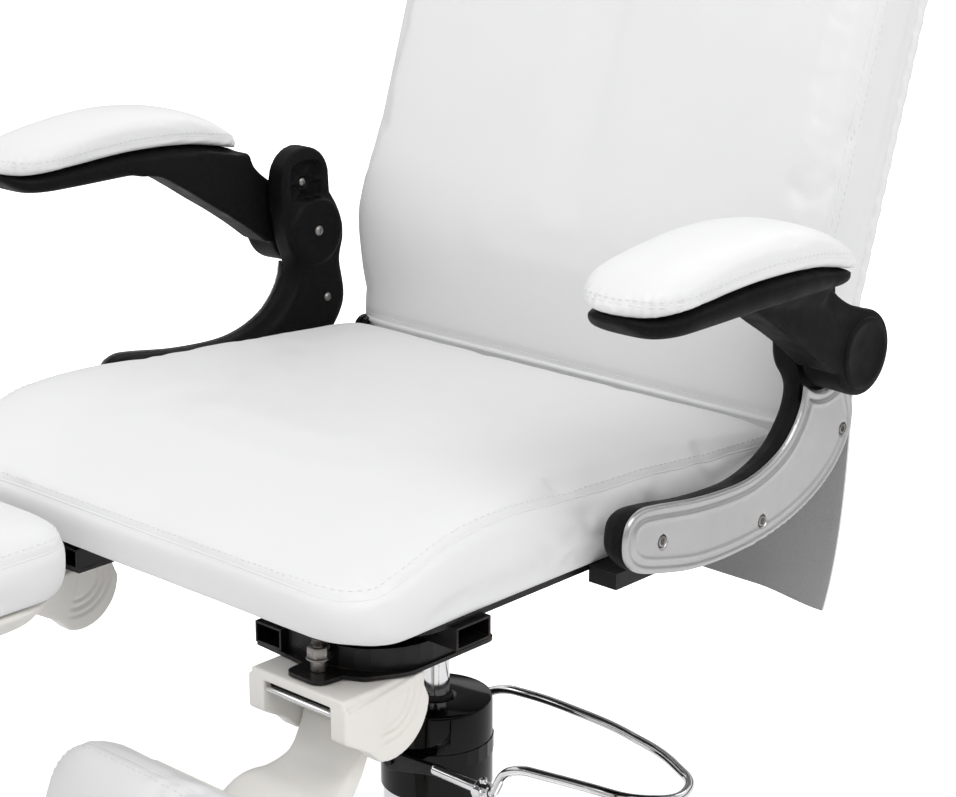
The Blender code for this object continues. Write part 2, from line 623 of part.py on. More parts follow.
def backrest(back):
    back_slab("back_cushion", BACK_HALF_WIDTH, 0.0, BACK_LENGTH, BACK_FRONT, BACK_REAR, 0.045, back, 0.014)
    panel_front = BACK_REAR - 0.0003
    back_slab("back_panel", BACK_HALF_WIDTH - 0.002, 0.006, BACK_LENGTH - 0.004, panel_front,
              panel_front - PANEL_THICK, 0.045, back, 0.003)
    rear = panel_front - PANEL_THICK - 0.0003
    for side in (1, -1):
        outline = [Vector(back_point(0.013 * cos(a), 0.013 * sin(a))) for a in
                   [radians(100 - 20 * k) for k in range(12)]]
        outline += [Vector(back_point(rear - 0.004, -0.018)), Vector(back_point(rear - 0.008, 0.0)),
                    Vector(back_point(rear - 0.008, 0.055)), Vector(back_point(rear, 0.066)),
                    Vector(back_point(rear, 0.004)), Vector(back_point(-0.030, -0.0012))]
        low, high = span(side, 0.2410, 0.2455)
        arm = prism(side_name("back_hinge_arm", side), outline, "x", low, high, black_paint(), back)
        drill(arm, back, "x", BACK_PIVOT[1:], 0.0044, low - 0.01, high + 0.01)
    crank(back, rear)
    skirt(back)


def recline_bolts(seat):
    """Pivot bolts of the backrest, heads on the inner side."""
    for side in (1, -1):
        profile = [(0.0, 0.2345), (0.0068, 0.2345), (0.0075, 0.2355), (0.0075, 0.2405), (0.0040, 0.2405),
                   (0.0040, 0.2525), (0.0072, 0.2525), (0.0072, 0.2570), (0.0, 0.2570)]
        profile = [(r, side * h) for r, h in profile]
        turned(side_name("recline_bolt", side), profile, steel(), seat, BACK_PIVOT, "x", 12)


def crank(back, rear):
    """Lug below the cushion with the pin that the gas spring's eye turns on."""
    y, z = SPRING_EYE[1:]
    outline = [Vector(back_point(rear - 0.0005, 0.060)), Vector((0.2430, 0.660)),
               Vector((0.2410, 0.6120))] + arc((y, z), 0.0110, 20, -150, 8)
    outline += [Vector(back_point(-0.036, -0.006)), Vector(back_point(rear - 0.0005, -0.004))]
    lug = prism("back_crank", outline, "x", 0.0095, 0.0135, black_paint(), back)
    pin_outline = arc((y, z), 0.0038, 0, 330, 11)
    weld(lug, prism("back_crank_pin", pin_outline, "x", -0.0075, 0.0105, None, back))


def skirt(back):
    """Thin rear sheet that leaves the back's rear face and hangs behind the seat frame."""
    spine = [Vector(back_point(-0.0558, 0.150)), Vector((0.2385, 0.690)), Vector((0.2560, 0.545)),
             Vector((0.2170, 0.4615))]
    steps = 12
    sheet = []
    for k in range(steps + 1):
        t = k / steps
        s = 1 - t
        sheet.append(spine[0] * s ** 3 + spine[1] * 3 * s * s * t + spine[2] * 3 * s * t * t + spine[3] * t ** 3)
    rear = [p + Vector((0.0036, 0.0)) for p in sheet]
    prism("rear_skirt", sheet + rear[::-1], "x", -0.2490, 0.2490, leatherette(), back)


# ---- gas spring and release lever ----
def spring_frame():
    start, end = Vector(SPRING_ANCHOR), Vector(SPRING_EYE)
    return start, end, (end - start).length, (end - start).normalized()


def gas_spring(body_joint, rod_joint, seat):
    start, end, length, direction = spring_frame()
    tilt = Vector((0, 1, 0)).rotation_difference(direction).to_matrix().to_4x4()
    profile = [(0.0, 0.0145), (0.0060, 0.0145), (SPRING_BODY_RADIUS, 0.0160),
               (SPRING_BODY_RADIUS, SPRING_BODY_LENGTH), (SPRING_ROD_RADIUS + 0.0004, SPRING_BODY_LENGTH),
               (SPRING_ROD_RADIUS + 0.0004, 0.0260), (0.0, 0.0260)]
    body = turned("gas_spring_body", profile, black_gloss(), body_joint, SPRING_ANCHOR, "y", 20)
    body.data.transform(tilt)
    eye_outline = arc((start.y, start.z), 0.0095, 0, 340, 17)
    eye = prism("gas_spring_anchor_eye", eye_outline, "x", -0.0045, 0.0045, None, body_joint)
    weld(body, eye)
    stem_outline = [(start.y, start.z - 0.004), (start.y + 0.017, start.z - 0.0037),
                    (start.y + 0.017, start.z + 0.0043), (start.y, start.z + 0.004)]
    weld(body, prism("gas_spring_stem", stem_outline, "x", -0.004, 0.004, None, body_joint))
    drill(body, body_joint, "x", (start.y, start.z), 0.0048, -0.02, 0.02, 12)
    rod_profile = [(0.0, 0.1000), (SPRING_ROD_RADIUS, 0.1000), (SPRING_ROD_RADIUS, length - 0.0145),
                   (0.0, length - 0.0145)]
    rod = turned("gas_spring_rod", rod_profile, chrome(), rod_joint, SPRING_ANCHOR, "y", 16)
    rod.data.transform(Matrix.Translation(rod_joint.pivot - start).inverted() @ tilt
                       @ Matrix.Translation(rod_joint.pivot - start))
    ring = arc((end.y, end.z), 0.0170, 0, 345, 23)
    weld(rod, prism("gas_spring_rod_eye", ring, "x", -0.0045, 0.0045, None, rod_joint))
    drill(rod, rod_joint, "x", (end.y, end.z), 0.0130, -0.02, 0.02, 24)
    bracket(seat)


def bracket(seat):
    """Clevis on the mast plate that holds the gas spring's fixed eye on its pin."""
    y, z = SPRING_ANCHOR[1:]
    foot = 0.5603
    cheek = [(y - 0.010, foot), (y + 0.010, foot), (y + 0.010, z + 0.004), (y + 0.006, z + 0.008),
             (y - 0.006, z + 0.008), (y - 0.010, z + 0.004)]
    clevis = prism("gas_spring_clevis", cheek, "x", -0.0110, 0.0110, black_paint(), seat, smooth=False)
    slot = [(y - 0.020, z - 0.030), (y + 0.040, z - 0.030), (y + 0.040, z + 0.030), (y - 0.020, z + 0.030)]
    cut(clevis, prism("gas_spring_clevis_slot", slot, "x", -0.0052, 0.0052, None, seat))
    pin_outline = arc((y, z), 0.0044, 0, 330, 11)
    weld(clevis, prism("gas_spring_clevis_pin", pin_outline, "x", -0.0105, 0.0105, None, seat))


def release_lever(lever, seat):
    """Bent rod under the seat's right side, turning in a block under the board."""
    x, y, z = LEVER_PIVOT
    path = [(x + 0.055, y, z), (x - 0.026, y, z), (x - 0.030, y - 0.006, z - 0.024),
            (x - 0.030, y - 0.075, z - 0.030)]
    rod_path("recline_lever", path, 0.0040, 0.010, black_paint(), lever)
    block = box("lever_block", (x + 0.026, y - 0.010, z - 0.010), (x + 0.038, y + 0.010, 0.5870), black_paint(), seat)
    drill(block, seat, "x", (y, z), 0.0046, -0.25, -0.15)


# ---- assembly ----
def build():
    clear_scene()
    root = Joint("base_frame", (0, 0, 0))
    lift = Joint("lift_joint", (0, 0, COVER_TOP), root)
    seat = Joint("swivel_joint", (0, 0, PLATE_BOTTOM), lift)
    back = Joint("recline_joint", BACK_PIVOT, seat)
    foot = Joint("pedal_joint", PEDAL_PIVOT, root)
    base(root)
    pump(root)
    pedal(foot)
    column(lift)
    seat_frame(seat)
    seat_cushion(seat)
    leg_bolts(seat)
    recline_bolts(seat)
    backrest(back)
    spring_body = Joint("spring_tilt_joint", SPRING_ANCHOR, seat)
    spring_rod = Joint("spring_slide_joint", SPRING_EYE, spring_body)
    gas_spring(spring_body, spring_rod, seat)
    release_lever(Joint("lever_joint", LEVER_PIVOT, seat), seat)
    for side in (1, -1):
        arm_carrier(seat, side)
        armrest(Joint(side_name("arm_joint", side), (side * ARM_CENTRE, HUB_Y, HUB_Z), seat), side)
        swing = Joint(side_name("leg_swing_joint", side), (side * LEG_X, LEG_BOLT_Y, PLATE_BOTTOM), seat)
        leg_housing(swing, side)
        leg_pin(swing, side)
        drop = LEG_DROP_LEFT if side > 0 else 0.0
        pitch = Joint(side_name("leg_pitch_joint", side), (side * LEG_X, LEG_PITCH_Y, LEG_PITCH_Z), swing, drop)
        leg_bar(pitch, side)
        leg_tray(pitch, side)
        leg_cushion(pitch, side)


build()
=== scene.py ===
"""Looks of the hydraulic pedicure chair: upholstery, mouldings, metalwork, stage and camera.

Every piece is built at rest in the frame's metres and rides on the CAD body it belongs to.
Paired pieces are built once, on the sitter's left, and mirrored. Both leg rests are built level;
the left one is then turned down to its rest angle.
"""

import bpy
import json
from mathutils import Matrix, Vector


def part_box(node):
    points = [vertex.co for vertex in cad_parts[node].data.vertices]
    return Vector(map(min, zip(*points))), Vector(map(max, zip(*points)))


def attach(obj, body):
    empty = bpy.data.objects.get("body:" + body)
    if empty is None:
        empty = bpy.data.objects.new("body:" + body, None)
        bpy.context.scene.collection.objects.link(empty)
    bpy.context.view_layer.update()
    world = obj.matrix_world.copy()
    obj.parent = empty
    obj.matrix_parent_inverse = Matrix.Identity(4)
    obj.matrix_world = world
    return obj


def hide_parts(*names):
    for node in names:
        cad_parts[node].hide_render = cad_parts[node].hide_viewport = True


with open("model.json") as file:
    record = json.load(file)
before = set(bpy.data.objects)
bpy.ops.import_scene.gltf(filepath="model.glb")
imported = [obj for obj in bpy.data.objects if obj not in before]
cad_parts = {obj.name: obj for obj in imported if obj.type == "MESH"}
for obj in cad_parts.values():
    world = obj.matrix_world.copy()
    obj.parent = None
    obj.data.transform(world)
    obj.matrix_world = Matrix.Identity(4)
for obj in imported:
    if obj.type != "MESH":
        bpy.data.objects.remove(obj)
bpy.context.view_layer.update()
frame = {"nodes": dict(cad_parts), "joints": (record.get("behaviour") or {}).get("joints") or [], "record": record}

import json
from math import atan2, ceil, cos, exp, hypot, pi, radians, sin, sqrt

import bmesh
import bpy
import numpy as np
from mathutils import Matrix, Vector
from mathutils.bvhtree import BVHTree
from mathutils.geometry import delaunay_2d_cdt
from mathutils.kdtree import KDTree

JOINTS = {joint["name"]: joint for joint in frame["joints"]}


# ---- places that come from the frame ----
SEAT_LOW, SEAT_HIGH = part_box("seat_cushion")
BACK_PIVOT = Vector(JOINTS["back_recline"]["pos_m"])
HUB = Vector(JOINTS["arm_fold_left"]["pos_m"])
LEG_BOLT = Vector(JOINTS["leg_swing_left"]["pos_m"])
LEG_PITCH = Vector(JOINTS["leg_pitch_left"]["pos_m"])
CARRIER_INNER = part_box("arm_bracket_left")[0].x
COVER_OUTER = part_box("arm_bracket_cover_left")[1].x
LEG_LOW, LEG_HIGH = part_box("leg_cushion_right")
PUMP_LOW, PUMP_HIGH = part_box("pump_cover")
PEDAL = Vector(JOINTS["pump_pedal"]["pos_m"])


# ---- angles and sizes of the looks ----
BACK_LEAN = radians(17.75)
LEFT_LEG_DROP = radians(68)
STITCH_PITCH = 0.0062
STITCH_LENGTH = 0.0040
STITCH_RADIUS = 0.00042
STITCH_SHAPE = ((-0.5, 0.35, -0.4), (-0.3, 0.95, 0.35), (0.0, 1.0, 0.6), (0.3, 0.95, 0.35), (0.5, 0.35, -0.4))
STITCH_ANGLES = [2 * pi * k / 6 for k in range(6)]
CLOTH_FRAMES = 20
CUSHION_VOXEL = 0.006
PAD_VOXEL = 0.004
ROUND_STEPS = 72
SEAM_STEP = 0.003
SMALLEST = 1e-6


# ---- small geometry helpers ----
def lerp(a, b, t):
    return a + (b - a) * t


def even(first, last, steps):
    """Evenly spaced values from first to last."""
    return [first + (last - first) * (k / steps) for k in range(steps + 1)]


def clamped(value):
    return min(1.0, max(0.0, value))


def smoothstep(low, high, value):
    t = clamped((value - low) / (high - low))
    return t * t * (3 - 2 * t)


def signed(value, power):
    """Power of a value's size, with the value's sign."""
    return abs(value) ** power * (1 if value > 0 else -1)


def bell(distance, width):
    return exp(-(distance / width) ** 2)


def bend(here, back, ahead, reach, steps):
    """Quadratic curve that cuts the corner at here by reach along each of its two sides."""
    start = here + back.normalized() * reach
    end = here + ahead.normalized() * reach
    return [start * (1 - t) ** 2 + here * 2 * t * (1 - t) + end * t ** 2 for t in even(0, 1, steps)]


def rounded(points, steps=6):
    """Round each corner (a, b, radius) of a closed outline; a corner without a radius stays sharp."""
    out = []
    for i, corner in enumerate(points):
        here = Vector(corner[:2])
        radius = corner[2] if len(corner) > 2 else 0.0
        if radius <= 0:
            out.append(here)
            continue
        back = Vector(points[i - 1][:2]) - here
        ahead = Vector(points[(i + 1) % len(points)][:2]) - here
        half = back.angle(ahead) / 2
        reach = min(radius / abs(sin(half) / cos(half)), back.length * 0.48, ahead.length * 0.48)
        out += bend(here, back, ahead, reach, steps)
    return out


def arc(centre, radius, first, last, steps):
    """Points on a circle from one angle to another, in degrees."""
    angles = [radians(first + (last - first) * k / steps) for k in range(steps + 1)]
    return [Vector((centre[0] + radius * cos(angle), centre[1] + radius * sin(angle))) for angle in angles]


def curve_value(knots, t):
    """Smooth value at t through (t, value) knots in rising order of t."""
    if t <= knots[0][0]:
        return knots[0][1]
    for i in range(len(knots) - 1):
        (t0, v0), (t1, v1) = knots[i], knots[i + 1]
        if t <= t1:
            before = knots[max(i - 1, 0)]
            after = knots[min(i + 2, len(knots) - 1)]
            slope0 = (v1 - before[1]) / max(t1 - before[0], 1e-9)
            slope1 = (after[1] - v0) / max(after[0] - t0, 1e-9)
            width = t1 - t0
            s = (t - t0) / width
            return ((2 * s ** 3 - 3 * s ** 2 + 1) * v0 + (s ** 3 - 2 * s ** 2 + s) * width * slope0
                    + (3 * s ** 2 - 2 * s ** 3) * v1 + (s ** 3 - s ** 2) * width * slope1)
    return knots[-1][1]


def through(points, steps=6):
    """Smooth open line through points (Catmull-Rom)."""
    pts = [Vector(p) for p in points]
    out = []
    for i in range(len(pts) - 1):
        p0, p1, p2, p3 = pts[max(i - 1, 0)], pts[i], pts[i + 1], pts[min(i + 2, len(pts) - 1)]
        for k in range(steps):
            t = k / steps
            out.append(0.5 * ((2 * p1) + (p2 - p0) * t + (2 * p0 - 5 * p1 + 4 * p2 - p3) * t * t
                              + (3 * p1 - p0 - 3 * p2 + p3) * t ** 3))
    out.append(pts[-1])
    return out


def drawn_in(loop, amount):
    """Closed outline moved inwards by amount(point) at each point."""
    area = sum(p.x * q.y - q.x * p.y for p, q in zip(loop, loop[1:] + loop[:1]))
    turn = 1 if area > 0 else -1
    out = []
    for i, p in enumerate(loop):
        along = (loop[(i + 1) % len(loop)] - loop[i - 1]).normalized()
        out.append(p + turn * Vector((-along.y, along.x)) * amount(p))
    return out


def spot(point, axis, height):
    """Outlines are (y, z) for axis x, (x, z) for y and (x, y) for z."""
    a, b = point[0], point[1]
    return {"x": (height, a, b), "y": (a, height, b), "z": (a, b, height)}[axis]


def added(name, data):
    obj = bpy.data.objects.new(name, data)
    bpy.context.scene.collection.objects.link(obj)
    return obj


def shaded(mesh, sharp):
    """Smooth shading, broken at edges sharper than an angle in degrees; None keeps every edge smooth."""
    mesh.shade_smooth()
    if sharp:
        mesh.set_sharp_from_angle(angle=radians(sharp))


def link(name, mesh, mat=None, sharp=40):
    """Put a finished mesh in the scene."""
    shaded(mesh, sharp)
    obj = added(name, mesh)
    if mat:
        mesh.materials.append(mat)
    return obj


def from_bmesh(name, bm, mat=None, sharp=40):
    bmesh.ops.recalc_face_normals(bm, faces=bm.faces)
    mesh = bpy.data.meshes.new(name)
    bm.to_mesh(mesh)
    bm.free()
    return link(name, mesh, mat, sharp)


def evaluated(obj):
    bpy.context.view_layer.update()
    return obj.evaluated_get(bpy.context.evaluated_depsgraph_get())


def bake(obj, sharp=None):
    """Replace an object's mesh by its evaluated one and drop its modifiers."""
    mesh = bpy.data.meshes.new_from_object(evaluated(obj))
    obj.modifiers.clear()
    obj.data = mesh
    shaded(mesh, sharp)
    return obj


def bevelled(obj, width, segments=3, angle=40):
    mod = obj.modifiers.new("edge", "BEVEL")
    mod.width = width
    mod.segments = segments
    mod.limit_method = "ANGLE"
    mod.angle_limit = radians(angle)
    return bake(obj, 50)


def prism(name, outline, axis, low, high, mat=None, bevel=0.0, segments=3):
    bm = bmesh.new()
    face = bm.faces.new([bm.verts.new(spot(p, axis, low)) for p in outline])
    grown = bmesh.ops.extrude_face_region(bm, geom=[face])
    moved = [g for g in grown["geom"] if isinstance(g, bmesh.types.BMVert)]
    bmesh.ops.translate(bm, verts=moved, vec=Vector(spot((0, 0), axis, high - low)))
    obj = from_bmesh(name, bm, mat)
    return bevelled(obj, bevel, segments) if bevel > 0 else obj


def turned(name, profile, mat=None, centre=(0, 0, 0), axis="z", steps=ROUND_STEPS, sharp=35):
    """Spin a closed profile of (radius, height) points about an axis through the centre."""
    bm = bmesh.new()
    verts = [bm.verts.new((r, 0, h)) for r, h in profile]
    edges = [bm.edges.new((verts[i - 1], verts[i])) for i in range(len(verts))]
    bmesh.ops.spin(bm, geom=verts + edges, cent=(0, 0, 0), axis=(0, 0, 1), angle=2 * pi,
                   steps=steps, use_merge=True, use_duplicate=False)
    bmesh.ops.remove_doubles(bm, verts=bm.verts, dist=SMALLEST)
    turn = {"z": Matrix(), "x": Matrix.Rotation(pi / 2, 4, "Y"), "y": Matrix.Rotation(-pi / 2, 4, "X")}[axis]
    bmesh.ops.transform(bm, matrix=Matrix.Translation(centre) @ turn, verts=bm.verts)
    return from_bmesh(name, bm, mat, sharp)


def softened_profile(corners, radius=0.001, steps=4):
    """Closed profile for turned(): corners off the axis are rounded."""
    return [tuple(p) for p in rounded([(r, h, radius if r > SMALLEST else 0.0) for r, h in corners], steps)]


def pin(name, radius, low, high, soft, mat=None, centre=(0, 0, 0), axis="x", steps=32, cuts=2):
    """Solid round bar with rounded ends."""
    profile = softened_profile([(0.0, low), (radius, low), (radius, high), (0.0, high)], soft, cuts)
    return turned(name, profile, mat, centre, axis, steps)


def merged(name, objects, mat=None, sharp=40):
    """One object from several, each a closed shell of its own."""
    bm = bmesh.new()
    for obj in objects:
        obj.data.transform(obj.matrix_world)
        bm.from_mesh(obj.data)
        bpy.data.objects.remove(obj, do_unlink=True)
    mesh = bpy.data.meshes.new(name)
    bm.to_mesh(mesh)
    bm.free()
    return link(name, mesh, mat, sharp)


def skinned(obj, voxel):
    remesh = obj.modifiers.new("skin", "REMESH")
    remesh.mode = "VOXEL"
    remesh.voxel_size = voxel


def fused(name, objects, voxel, relax, mat):
    """One moulded skin around several overlapping shapes, its inner corners filleted."""
    obj = merged(name, objects, mat)
    skinned(obj, voxel)
    smooth = obj.modifiers.new("relax", "SMOOTH")
    smooth.factor = 0.5
    smooth.iterations = relax
    return bake(obj)


def mirrored(obj, name):
    """Copy of a left piece for the right side."""
    mesh = obj.data.copy()
    mesh.transform(Matrix.Scale(-1, 4, (1, 0, 0)))
    mesh.flip_normals()
    return added(name, mesh)


def level_place(a, b, height):
    return (a, b, height)


def ring_loft(name, rings, corner, place, mat=None, spacing=0.02):
    """Closed form from rounded rectangles: each ring is (low a, low b, high a, high b, height).

    The two corner radii are for the low b side and the high b side.
    """
    sizes = [rings[0][2] - rings[0][0], rings[0][3] - rings[0][1]]
    straight = [max(2, ceil(size / spacing)) for size in sizes]
    sections = []
    for a0, b0, a1, b1, height in rings:
        most = min((a1 - a0) * 0.49, (b1 - b0) * 0.49)
        near, far = min(corner[0], most), min(corner[1], most)
        turns = [(a1 - near, b0 + near, near, -90), (a1 - far, b1 - far, far, 0),
                 (a0 + far, b1 - far, far, 90), (a0 + near, b0 + near, near, 180)]
        arcs = [arc((a, b), reach, first, first + 90, 8) for a, b, reach, first in turns]
        points = []
        for i, bow in enumerate(arcs):
            count = straight[(i + 1) % 2]
            points += bow + [bow[-1].lerp(arcs[(i + 1) % 4][0], k / count) for k in range(1, count)]
        sections.append([place(p.x, p.y, height) for p in points])
    return section_loft(name, sections, mat)


def skin(bm, sections):
    """Closed surface over equal rings of points, with a face at each end."""
    loops = [[bm.verts.new(p) for p in ring] for ring in sections]
    for lower, upper in zip(loops, loops[1:]):
        for i in range(len(lower)):
            bm.faces.new((lower[i - 1], lower[i], upper[i], upper[i - 1]))
    for loop in (loops[0], loops[-1]):
        bm.faces.new(loop)


def section_loft(name, sections, mat=None):
    bm = bmesh.new()
    skin(bm, sections)
    return from_bmesh(name, bm, mat, None)


def rod_path(name, points, radius, corner, mat, steps=10, closed=False):
    """Round rod along corner points, each inner corner rounded; a mesh with capped ends."""
    path = []
    last = len(points) - 1
    for i, here in enumerate([Vector(p) for p in points]):
        if i in (0, last) and not closed:
            path.append(here)
            continue
        back = Vector(points[i - 1]) - here
        ahead = Vector(points[(i + 1) % len(points)]) - here
        path += bend(here, back, ahead, min(corner, back.length * 0.45, ahead.length * 0.45), steps)
    curve = bpy.data.curves.new(name, "CURVE")
    curve.dimensions = "3D"
    curve.bevel_depth = radius
    curve.bevel_resolution = 6
    curve.use_fill_caps = True
    spline = curve.splines.new("POLY")
    spline.points.add(len(path) - 1)
    spline.use_cyclic_u = closed
    for point, place in zip(spline.points, path):
        point.co = (*place, 1.0)
    obj = added(name, curve)
    mesh = bpy.data.meshes.new_from_object(evaluated(obj))
    bpy.data.objects.remove(obj, do_unlink=True)
    bm = bmesh.new()
    bm.from_mesh(mesh)
    bmesh.ops.remove_doubles(bm, verts=bm.verts, dist=SMALLEST)
    return from_bmesh(name, bm, mat, 40)


def relief_plate(name, outline, holes, axis, back, front, height, mat, spacing=0.0016):
    """Plate whose front face rises by height(distance to the outline); holes are (a, b, radius)."""
    rim = [Vector(p) for p in outline]
    loops = [dense_loop(rim, spacing)]
    loops += [arc(hole[:2], hole[2], 0, 345, 23) for hole in holes]
    points = [p for loop in loops for p in loop]
    edges = []
    start = 0
    for loop in loops:
        edges += [(start + i, start + (i + 1) % len(loop)) for i in range(len(loop))]
        start += len(loop)
    segment_a = np.array([tuple(p) for p in loops[0]])
    segment_b = np.roll(segment_a, -1, axis=0)
    low, high = segment_a.min(axis=0), segment_a.max(axis=0)
    grid = []
    for a in np.arange(low[0] + spacing / 2, high[0], spacing):
        for b in np.arange(low[1] + spacing / 2, high[1], spacing):
            grid.append((a, b))
    grid = np.array(grid)
    keep = inside(grid, segment_a, segment_b) & (edge_distance(grid, segment_a, segment_b) > spacing * 0.6)
    for a, b, radius in holes:
        keep &= np.hypot(grid[:, 0] - a, grid[:, 1] - b) > radius + spacing * 0.6
    points += [Vector(p) for p in grid[keep]]
    found = delaunay_2d_cdt(points, edges, [], 0, 1e-7)
    flat = np.array([tuple(v) for v in found[0]])
    faces = np.array(found[2])
    centres = flat[faces].mean(axis=1)
    wanted = inside(centres, segment_a, segment_b)
    for a, b, radius in holes:
        wanted &= np.hypot(centres[:, 0] - a, centres[:, 1] - b) > radius * 0.985
    depth = edge_distance(flat, segment_a, segment_b)
    for a, b, radius in holes:
        rim_gap = np.hypot(flat[:, 0] - a, flat[:, 1] - b) - radius
        depth = np.where(rim_gap < 0.0008, 10 + np.maximum(rim_gap, 0), depth)
    direction = 1 if front > back else -1
    bm = bmesh.new()
    verts = []
    for point, gap in zip(flat, depth):
        rise = height(gap % 10) if gap < 10 else height(0.02) - 0.0006
        verts.append(bm.verts.new(spot(point, axis, front + direction * rise)))
    for face in faces[wanted]:
        bm.faces.new([verts[i] for i in face])
    bmesh.ops.delete(bm, geom=[v for v in bm.verts if not v.link_faces], context="VERTS")
    border = [e for e in bm.edges if e.is_boundary]
    grown = bmesh.ops.extrude_edge_only(bm, edges=border)
    index = {"x": 0, "y": 1, "z": 2}[axis]
    for item in grown["geom"]:
        if isinstance(item, bmesh.types.BMVert):
            item.co[index] = back
    rear = [e for e in bm.edges if e.is_boundary]
    bmesh.ops.triangle_fill(bm, edges=rear, use_beauty=True, use_dissolve=False)
    bmesh.ops.dissolve_degenerate(bm, edges=bm.edges, dist=3e-5)
    return from_bmesh(name, bm, mat, 70)


def dense_loop(loop, spacing):
    """Closed outline with points no further apart than spacing."""
    out = []
    for i, here in enumerate(loop):
        ahead = loop[(i + 1) % len(loop)]
        count = max(1, ceil((ahead - here).length / spacing))
        out += [here.lerp(ahead, k / count) for k in range(count)]
    return out


def inside(points, a, b):
    """Which points lie inside the closed outline with edges a to b."""
    hits = np.zeros(len(points), int)
    for (ax, ay), (bx, by) in zip(a, b):
        crosses = (points[:, 1] < ay) != (points[:, 1] < by)
        if ay == by:
            continue
        level = ax + (points[:, 1] - ay) * (bx - ax) / (by - ay)
        hits += crosses & (points[:, 0] < level)
    return hits % 2 == 1


def edge_distance(points, a, b):
    """Distance from each point to the nearest edge a to b."""
    best = np.full(len(points), 1e9)
    for start, end in zip(a, b):
        along = end - start
        t = np.clip(((points - start) @ along) / max(along @ along, 1e-18), 0, 1)
        gap = np.hypot(*(points - start - t[:, None] * along).T)
        best = np.minimum(best, gap)
    return best


# ---- materials ----
def mixed(nodes, links, factor, first, second):
    """Output of a colour mix of two sockets or plain colours."""
    node = nodes.new("ShaderNodeMix")
    node.data_type = "RGBA"
    links.new(factor, node.inputs["Factor"])
    for key, value in (("A", first), ("B", second)):
        socket = next(s for s in node.inputs if s.name == key and s.type == "RGBA")
        if isinstance(value, tuple):
            socket.default_value = (*value, 1)
        else:
            links.new(value, socket)
    return next(s for s in node.outputs if s.type == "RGBA")


class Paint:
    """A Principled material with helpers that add texture nodes to it."""

    def __init__(self, name, colour, roughness, metallic=0.0, specular=0.5):
        self.mat = bpy.data.materials.new(name)
        self.mat.use_nodes = True
        self.nodes = self.mat.node_tree.nodes
        self.links = self.mat.node_tree.links
        self.shader = self.nodes["Principled BSDF"]
        self.colour = colour
        self.shader.inputs["Base Color"].default_value = (*colour, 1)
        self.shader.inputs["Roughness"].default_value = roughness
        self.shader.inputs["Metallic"].default_value = metallic
        self.shader.inputs["Specular IOR Level"].default_value = specular
        self.coords = self.nodes.new("ShaderNodeTexCoord")
        self.heights = []

    def node(self, kind, **values):
        """New node; each value goes to the input of that name, an underscore standing for a space."""
        node = self.nodes.new("ShaderNode" + kind)
        for key, value in values.items():
            node.inputs[key.replace("_", " ")].default_value = value
        return node

    def noise(self, scale, detail=3.0, stretch=None, rough=0.5):
        node = self.node("TexNoise", Scale=scale, Detail=detail, Roughness=rough)
        self.feed(node, stretch)
        return node.outputs["Fac"]

    def cells(self, scale):
        node = self.node("TexVoronoi")
        node.feature = "DISTANCE_TO_EDGE"
        node.inputs["Scale"].default_value = scale
        self.feed(node, None)
        return node.outputs["Distance"]

    def feed(self, node, stretch):
        source = self.coords.outputs["Object"]
        if stretch:
            mapping = self.node("Mapping", Scale=stretch)
            self.links.new(source, mapping.inputs["Vector"])
            source = mapping.outputs["Vector"]
        self.links.new(source, node.inputs["Vector"])

    def ramp(self, value, low, high, start=0.0, end=1.0):
        node = self.node("MapRange", From_Min=low, From_Max=high, To_Min=start, To_Max=end)
        self.links.new(value, node.inputs["Value"])
        return node.outputs["Result"]

    def mix(self, factor, first, second):
        return mixed(self.nodes, self.links, factor, first, second)

    def tint(self, factor, second):
        """Blend towards a second colour where factor is high."""
        source = self.shader.inputs["Base Color"]
        first = source.links[0].from_socket if source.links else self.colour
        self.links.new(self.mix(factor, first, second), source)

    def roughen(self, factor, low, high):
        self.links.new(self.ramp(factor, 0.3, 0.7, low, high), self.shader.inputs["Roughness"])

    def bump(self, height, strength, distance):
        node = self.node("Bump", Strength=strength, Distance=distance)
        self.links.new(height, node.inputs["Height"])
        if self.heights:
            self.links.new(self.heights[-1].outputs["Normal"], node.inputs["Normal"])
        self.heights.append(node)
        self.links.new(node.outputs["Normal"], self.shader.inputs["Normal"])

    def worn_edges(self, reach):
        """High where a rounded-off normal leaves the true one: along edges."""
        node = self.node("Bevel", Radius=reach)
        node.samples = 4
        flat = self.node("NewGeometry")
        turn = self.node("VectorMath")
        turn.operation = "DOT_PRODUCT"
        self.links.new(node.outputs["Normal"], turn.inputs[0])
        self.links.new(flat.outputs["True Normal"], turn.inputs[1])
        edges = self.ramp(turn.outputs["Value"], 0.96, 0.80)
        return self.times(edges, self.ramp(self.noise(70, 4), 0.42, 0.62))

    def times(self, first, second):
        node = self.node("Math")
        node.operation = "MULTIPLY"
        self.links.new(first, node.inputs[0])
        self.links.new(second, node.inputs[1])
        return node.outputs["Value"]

    # The three below lay noise of a scale and detail over the colour, the roughness or the surface.
    def patches(self, scale, detail, low, high, colour, most=1.0):
        self.tint(self.ramp(self.noise(scale, detail), low, high, 0.0, most), colour)

    def uneven(self, scale, detail, low, high):
        self.roughen(self.noise(scale, detail), low, high)

    def grain(self, scale, detail, strength, distance):
        self.bump(self.noise(scale, detail), strength, distance)


def leatherette():
    p = Paint("white_leatherette", (0.80, 0.80, 0.805), 0.5)
    p.patches(5.0, 4, 0.35, 0.75, tuple(c * 0.955 for c in p.colour), 0.5)
    p.uneven(30, 4, 0.42, 0.56)
    p.bump(p.noise(14, 5, rough=0.55), 0.10, 0.0022)
    p.bump(p.cells(850), 0.22, 0.00022)
    p.grain(1500, 2, 0.12, 0.0001)
    p.shader.inputs["Sheen Weight"].default_value = 0.08
    p.shader.inputs["Coat Weight"].default_value = 0.04
    return p.mat


